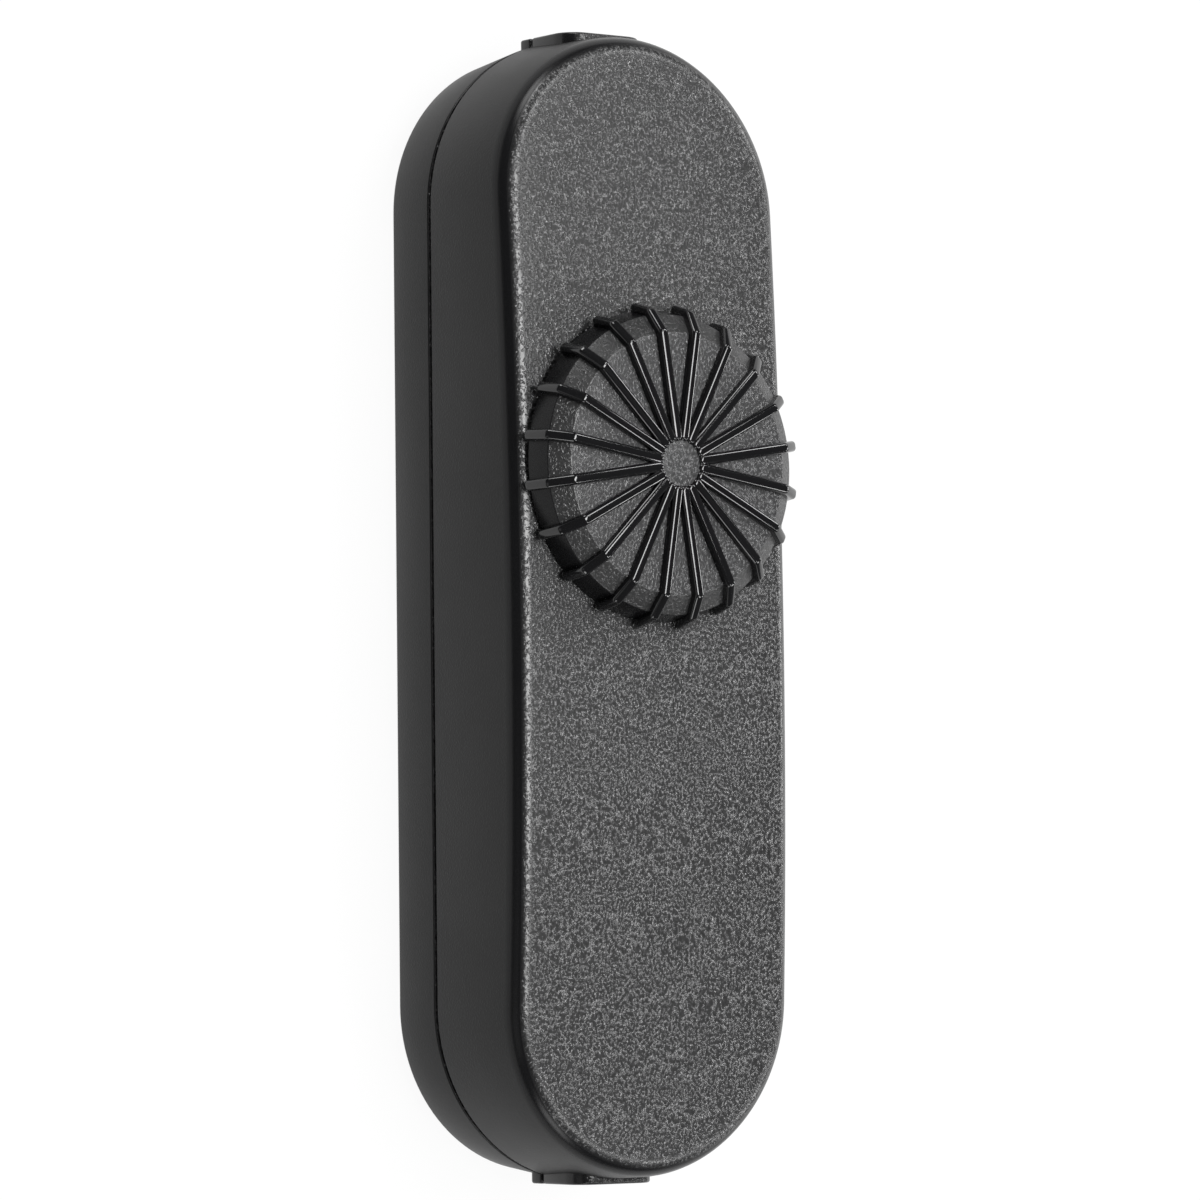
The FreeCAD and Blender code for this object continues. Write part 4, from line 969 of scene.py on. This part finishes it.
class DIMMER_OT_knob(bpy.types.Operator):
    """Models the knob from one sector with one rib, copied round its axis"""
    bl_idname = "dimmer.knob"
    bl_label = "Knob"

    def execute(self, context):
        knob = context.scene.dimmer.knob
        skins = knob_finishes(context.scene.dimmer.finish)
        sector = 2 * math.pi / knob.rib_count
        wide = sector * 4 / 3
        middle_y = knob.centre_y
        axis = (0, middle_y, 0)
        wedge = chain("ribbed_knob", [
            (radius * math.cos(wide / 2), middle_y - radius * math.sin(wide / 2), z)
            for radius, z in knob_section(knob)])
        turn(wide, 8, axis)
        close_up(CLOSE / 10)
        for side in (-1, 1):
            normal = Vector((-math.sin(side * wide / 2), math.cos(side * wide / 2), 0))
            pick("edges", lambda edge: edge.is_boundary and all(
                abs((corner.co - Vector(axis)).dot(normal)) < CLOSE / 5 for corner in edge.verts))
            bpy.ops.mesh.edge_face_add()
        close_up(CLOSE / 10)
        let_go()
        dress(wedge, skins)
        rim = knob.top - knob.rim_drop
        roof = knob.top - knob.wall
        paint_faces(wedge, [
            lambda normal, centre: normal.z > 0.96 and centre.z > roof,
            lambda normal, centre: normal.z > 0.5 and centre.z > roof,
            lambda normal, centre: True,
        ])
        rib = knob_rib(knob)
        let_go()
        combine(wedge, [rib], "UNION", skins[3])
        reopen(wedge)
        for side in (-1, 1):
            bpy.ops.mesh.select_all(action="SELECT")
            normal = (-math.sin(side * sector / 2), math.cos(side * sector / 2), 0)
            slice_off(axis, normal, side > 0, fill=False)
        bpy.ops.mesh.select_all(action="SELECT")
        swing(sector / 2, axis)
        for copy in range(knob.rib_count - 1):
            bpy.ops.mesh.duplicate()
            swing(sector, axis)
        close_up(CLOSE)
        webs = []
        inset = 0.6 * MM
        for quarter in range(4):
            web = box("web", (inset, middle_y - knob.web / 2, rim + inset),
                      (knob.rim_radius - inset, middle_y + knob.web / 2, roof + inset))
            reopen(web)
            swing(math.radians(45 + 90 * quarter), axis)
            webs.append(web)
        combine(wedge, webs, "UNION", skins[2])
        socket = drum("socket", 0, middle_y, knob.hub_low - MM, roof, knob.socket_radius, 64)
        reopen(socket)
        slice_off((knob.socket_flat, middle_y, 0), (1, 0, 0), True)
        combine(wedge, [socket], "DIFFERENCE", skins[2])
        put_right(wedge, "dial", ["knob"], 30)
        return {"FINISHED"}


# Screws

class DIMMER_OT_screws(bpy.types.Operator):
    """Models one housing screw with thread and cross recess and copies it to each corner"""
    bl_idname = "dimmer.screws"
    bl_label = "Housing screws"

    def execute(self, context):
        screw = context.scene.dimmer.screw
        head, seat, face = screw.head_radius, screw.seat, screw.head_low
        rounding = ((0, 0), (0.6, 0), (0.82, 0.08), (0.94, 0.22), (1, 0.45))
        broken, point = 0.05 * MM, 0.6 * MM
        section = [(head * out, face + rise * MM) for out, rise in rounding]
        section += [(head, seat - broken), (head - broken, seat)]
        core = screw.shank_radius * 0.8
        section += [(core, seat)]
        pitch = 1.0 * MM
        height = seat + pitch * 1.5
        while height < screw.tip - 2 * point:
            section += [(core, height), (screw.shank_radius, height + pitch * 0.35),
                        (screw.shank_radius, height + pitch * 0.45), (core, height + pitch * 0.8)]
            height += pitch
        section += [(core, screw.tip - point), (core * 0.5, screw.tip), (0, screw.tip)]
        first = chain("screw", [(radius, 0, z) for radius, z in section])
        turn(2 * math.pi, 40, (0, 0, 0))
        close_up()
        arm, reach, depth = head * 0.16, head * 0.62, (seat - face) * 0.5
        arms = []
        for across in (0, 1):
            size_x, size_y = (reach, arm) if across else (arm, reach)
            slot = box("arm", (-size_x, -size_y, face - MM), (size_x, size_y, face + depth))
            pick("faces", lambda patch: patch.normal.z > 0.9)
            bpy.ops.transform.resize(value=(0.72, 0.72, 1), center_override=(0, 0, 0))
            arms.append(slot)
        combine(first, arms, "DIFFERENCE")
        pieces = []
        for index, (x, y) in enumerate(four_places(screw.place_x, screw.place_y)):
            choose(first)
            bpy.ops.object.duplicate(linked=False)
            copy = bpy.context.object
            reopen(copy)
            swing(0.4 + 0.7 * index, (0, 0, 0))
            bpy.ops.transform.translate(value=(x, y, 0))
            pieces.append(copy)
        bpy.data.objects.remove(first, do_unlink=True)
        screws = joined(pieces, "rear_screws")
        zinc = finish_material("Zinc_screw", (0.52, 0.52, 0.54), 0.34, 0.15 * MM, 0.006 * MM,
                               contrast=1.15, wear=0.5, metallic=1.0)
        dress(screws, [zinc])
        put_right(screws, "case", ["housing_screws"])
        return {"FINISHED"}


# Inside parts, whose shapes stay as the solids have them

# Colour, roughness, metallic, and width and depth of the grain in millimetres
INNER = {
    "steel": ((0.50, 0.50, 0.52), 0.34, 1.0, 0.15, 0.006),
    "shaft_plastic": ((0.62, 0.60, 0.55), 0.45, 0.0, 0.3, 0.02),
    "tinned_steel": ((0.62, 0.62, 0.63), 0.38, 1.0, 0.25, 0.008),
    "phenolic": ((0.23, 0.12, 0.055), 0.5, 0.0, 0.5, 0.02),
    "tinned_brass": ((0.66, 0.65, 0.62), 0.33, 1.0, 0.2, 0.006),
    "black_moulding": ((0.02, 0.02, 0.021), 0.42, 0.0, 0.25, 0.02),
    "board": ((0.035, 0.16, 0.07), 0.4, 0.0, 0.6, 0.01),
    "aluminium": ((0.72, 0.73, 0.74), 0.36, 1.0, 0.4, 0.008),
    "ferrite": ((0.06, 0.06, 0.062), 0.55, 0.0, 0.2, 0.02),
    "copper": ((0.72, 0.32, 0.17), 0.3, 1.0, 0.3, 0.004),
    "capacitor_case": ((0.62, 0.36, 0.06), 0.36, 0.0, 0.5, 0.01),
    "component_glass": ((0.42, 0.13, 0.05), 0.14, 0.0, 0.4, 0.002),
    "resistor_coat": ((0.55, 0.45, 0.28), 0.45, 0.0, 0.3, 0.01),
    "fuse_ceramic": ((0.74, 0.72, 0.68), 0.4, 0.0, 0.4, 0.006),
    "terminal_plastic": ((0.70, 0.70, 0.68), 0.4, 0.0, 0.35, 0.01),
    "brass": ((0.72, 0.53, 0.22), 0.3, 1.0, 0.25, 0.005),
    "clamp_plastic": ((0.05, 0.05, 0.052), 0.48, 0.0, 0.3, 0.02),
}


class DIMMER_OT_inner_finishes(bpy.types.Operator):
    """Gives every solid inside the housing its procedural finish"""
    bl_idname = "dimmer.inner_finishes"
    bl_label = "Finishes inside"

    def execute(self, context):
        made = {}
        for part in frame["record"]["subparts"]:
            slot = part["material_slot"]
            if slot not in INNER:
                continue
            if slot not in made:
                colour, rough, metallic, grain, depth = INNER[slot]
                made[slot] = finish_material("Inner_" + slot, colour, rough, grain * MM, depth * MM,
                                             contrast=1.12, wear=0.3, metallic=metallic)
            for place in frame["nodes"][part["node"]].material_slots:
                place.material = made[slot]
        return {"FINISHED"}


# Stage

# The camera's place, turn, lens and shift, as fitted to the photograph's edges
CAMERA_PLACE = (-0.33033185, -0.03084210, 0.46267548)
CAMERA_TURN = (
    (0.80906341, -0.02935887, -0.58698761),
    (-0.01029159, 0.99789067, -0.06409590),
    (0.58763124, 0.05789868, 0.80705468),
)
CAMERA_LENS = 185.018
CAMERA_SHIFT = (0.0128127, -0.0410025)

# Name, place, width and length in metres, the stage's power and the share of it
LAMPS = (
    ("key_lamp", (0.055, 0.062, 0.59), 0.19, 0.42, "key", 1.0),
    ("side_lamp", (-0.5, -0.2, 0.28), 0.3, 0.3, "fill", 1.0),
    ("upper_end_lamp", (-0.15, 0.54, 0.22), 0.2, 0.2, "end", 1.0),
    ("lower_end_lamp", (-0.15, -0.54, 0.22), 0.2, 0.2, "end", 0.6),
)

# One small lamp for about each pair of ribs, so that the ribs' edges catch a line of light
RIM_SIDE = 0.1
RIM_PLACES = (
    (0.17, 0.33, 0.48), (0.33, 0.36, 0.36), (0.48, 0.25, 0.25), (0.57, 0.03, 0.15),
    (0.48, -0.22, 0.25), (0.33, -0.33, 0.36), (0.17, -0.29, 0.49),
)


def white_floor():
    """White to the eye and in reflections, and still darkened by the object's shadow."""
    material, tree = blank_material("White_floor")
    path = node(tree, "ShaderNodeLightPath").outputs
    seen = maths(tree, "MAXIMUM", path["Is Camera Ray"], path["Is Glossy Ray"])
    seen = maths(tree, "MAXIMUM", seen, path["Is Transmission Ray"])
    part = maths(tree, "MULTIPLY", seen, 0.94)
    speck = shared(tree, "Handling", Scale=3.0)["Drift"]
    pale = ranged(tree, speck, 0.0, 1.0, 0.86, 0.9)
    lit = node(tree, "ShaderNodeBsdfDiffuse", Color=pale).outputs[0]
    glow = node(tree, "ShaderNodeEmission", Strength=1.0).outputs[0]
    mixed = node(tree, "ShaderNodeMixShader", _0=part, _1=lit, _2=glow).outputs[0]
    node(tree, "ShaderNodeOutputMaterial", Surface=mixed)
    return material


def lamp(name, place, width, length, power):
    """A soft rectangular lamp that looks at the object's middle."""
    let_go()
    place = Vector(place)
    facing = place.to_track_quat("Z", "Y").to_euler()
    bpy.ops.object.light_add(type="AREA", location=place, rotation=facing)
    made = bpy.context.object
    made.name = name
    made.data.shape = "RECTANGLE"
    made.data.size = width
    made.data.size_y = length
    made.data.energy = power


class DIMMER_OT_stage(bpy.types.Operator):
    """Lays the white floor, hangs the lamps and sets up the camera"""
    bl_idname = "dimmer.stage"
    bl_label = "Stage"

    def execute(self, context):
        stage = context.scene.dimmer.stage
        let_go()
        bpy.ops.mesh.primitive_plane_add(size=stage.floor, location=(0, 0, 0))
        floor = named("floor")
        bpy.ops.mesh.subdivide(number_cuts=7)
        let_go()
        dress(floor, [white_floor()])
        for name, place, width, length, source, part in LAMPS:
            lamp(name, place, width, length, getattr(stage, source) * part)
        for index, place in enumerate(RIM_PLACES):
            lamp(f"rim_lamp_{index}", place, RIM_SIDE, RIM_SIDE, stage.rim)
        world = bpy.data.worlds.new("Surroundings")
        world.use_nodes = True
        back = world.node_tree.nodes["Background"]
        back.inputs["Color"].default_value = (1, 1, 1, 1)
        back.inputs["Strength"].default_value = stage.sky
        context.scene.world = world
        let_go()
        bpy.ops.object.camera_add(location=(0, 0, 0))
        camera = bpy.context.object
        camera.name = "camera"
        camera.matrix_world = Matrix.Translation(CAMERA_PLACE) @ Matrix(CAMERA_TURN).to_4x4()
        camera.data.sensor_width = 36
        camera.data.lens = CAMERA_LENS
        camera.data.shift_x, camera.data.shift_y = CAMERA_SHIFT
        camera.data.clip_start, camera.data.clip_end = 0.01, 50
        context.scene.camera = camera
        context.scene.view_settings.view_transform = "Standard"
        return {"FINISHED"}


class DIMMER_PT_sidebar(bpy.types.Panel):
    """Lists the dimmer's pieces in the sidebar"""
    bl_idname = "DIMMER_PT_sidebar"
    bl_label = "Rotary cord dimmer"
    bl_space_type = "VIEW_3D"
    bl_region_type = "UI"
    bl_category = "Dimmer"

    def draw(self, context):
        settings = context.scene.dimmer
        for label, group, operators in (
            ("Shells", settings.shell, ("dimmer.front_shell", "dimmer.rear_shell")),
            ("Inlets", settings.inlet, ()),
            ("Knob", settings.knob, ("dimmer.knob",)),
            ("Screws", settings.screw, ("dimmer.screws",)),
            ("Finish", settings.finish, ("dimmer.inner_finishes",)),
            ("Stage", settings.stage, ("dimmer.stage",)),
        ):
            column = self.layout.box().column()
            column.label(text=label)
            for name in group.__annotations__:
                column.prop(group, name)
            for operator in operators:
                column.operator(operator)


CLASSES = (
    DIMMER_PG_shell, DIMMER_PG_inlet, DIMMER_PG_knob, DIMMER_PG_screw, DIMMER_PG_finish, DIMMER_PG_stage,
    DIMMER_PG_all, DIMMER_OT_front_shell, DIMMER_OT_rear_shell, DIMMER_OT_knob, DIMMER_OT_screws,
    DIMMER_OT_inner_finishes, DIMMER_OT_stage, DIMMER_PT_sidebar,
)


def register():
    for item in CLASSES:
        bpy.utils.register_class(item)
    bpy.types.Scene.dimmer = PointerProperty(type=DIMMER_PG_all)


def unregister():
    del bpy.types.Scene.dimmer
    for item in reversed(CLASSES):
        bpy.utils.unregister_class(item)


def main():
    """Builds every piece in order."""
    register()
    bpy.ops.dimmer.front_shell()
    bpy.ops.dimmer.rear_shell()
    bpy.ops.dimmer.knob()
    bpy.ops.dimmer.screws()
    bpy.ops.dimmer.inner_finishes()
    bpy.ops.dimmer.stage()
    let_go()


if __name__ == "__main__":
    main()
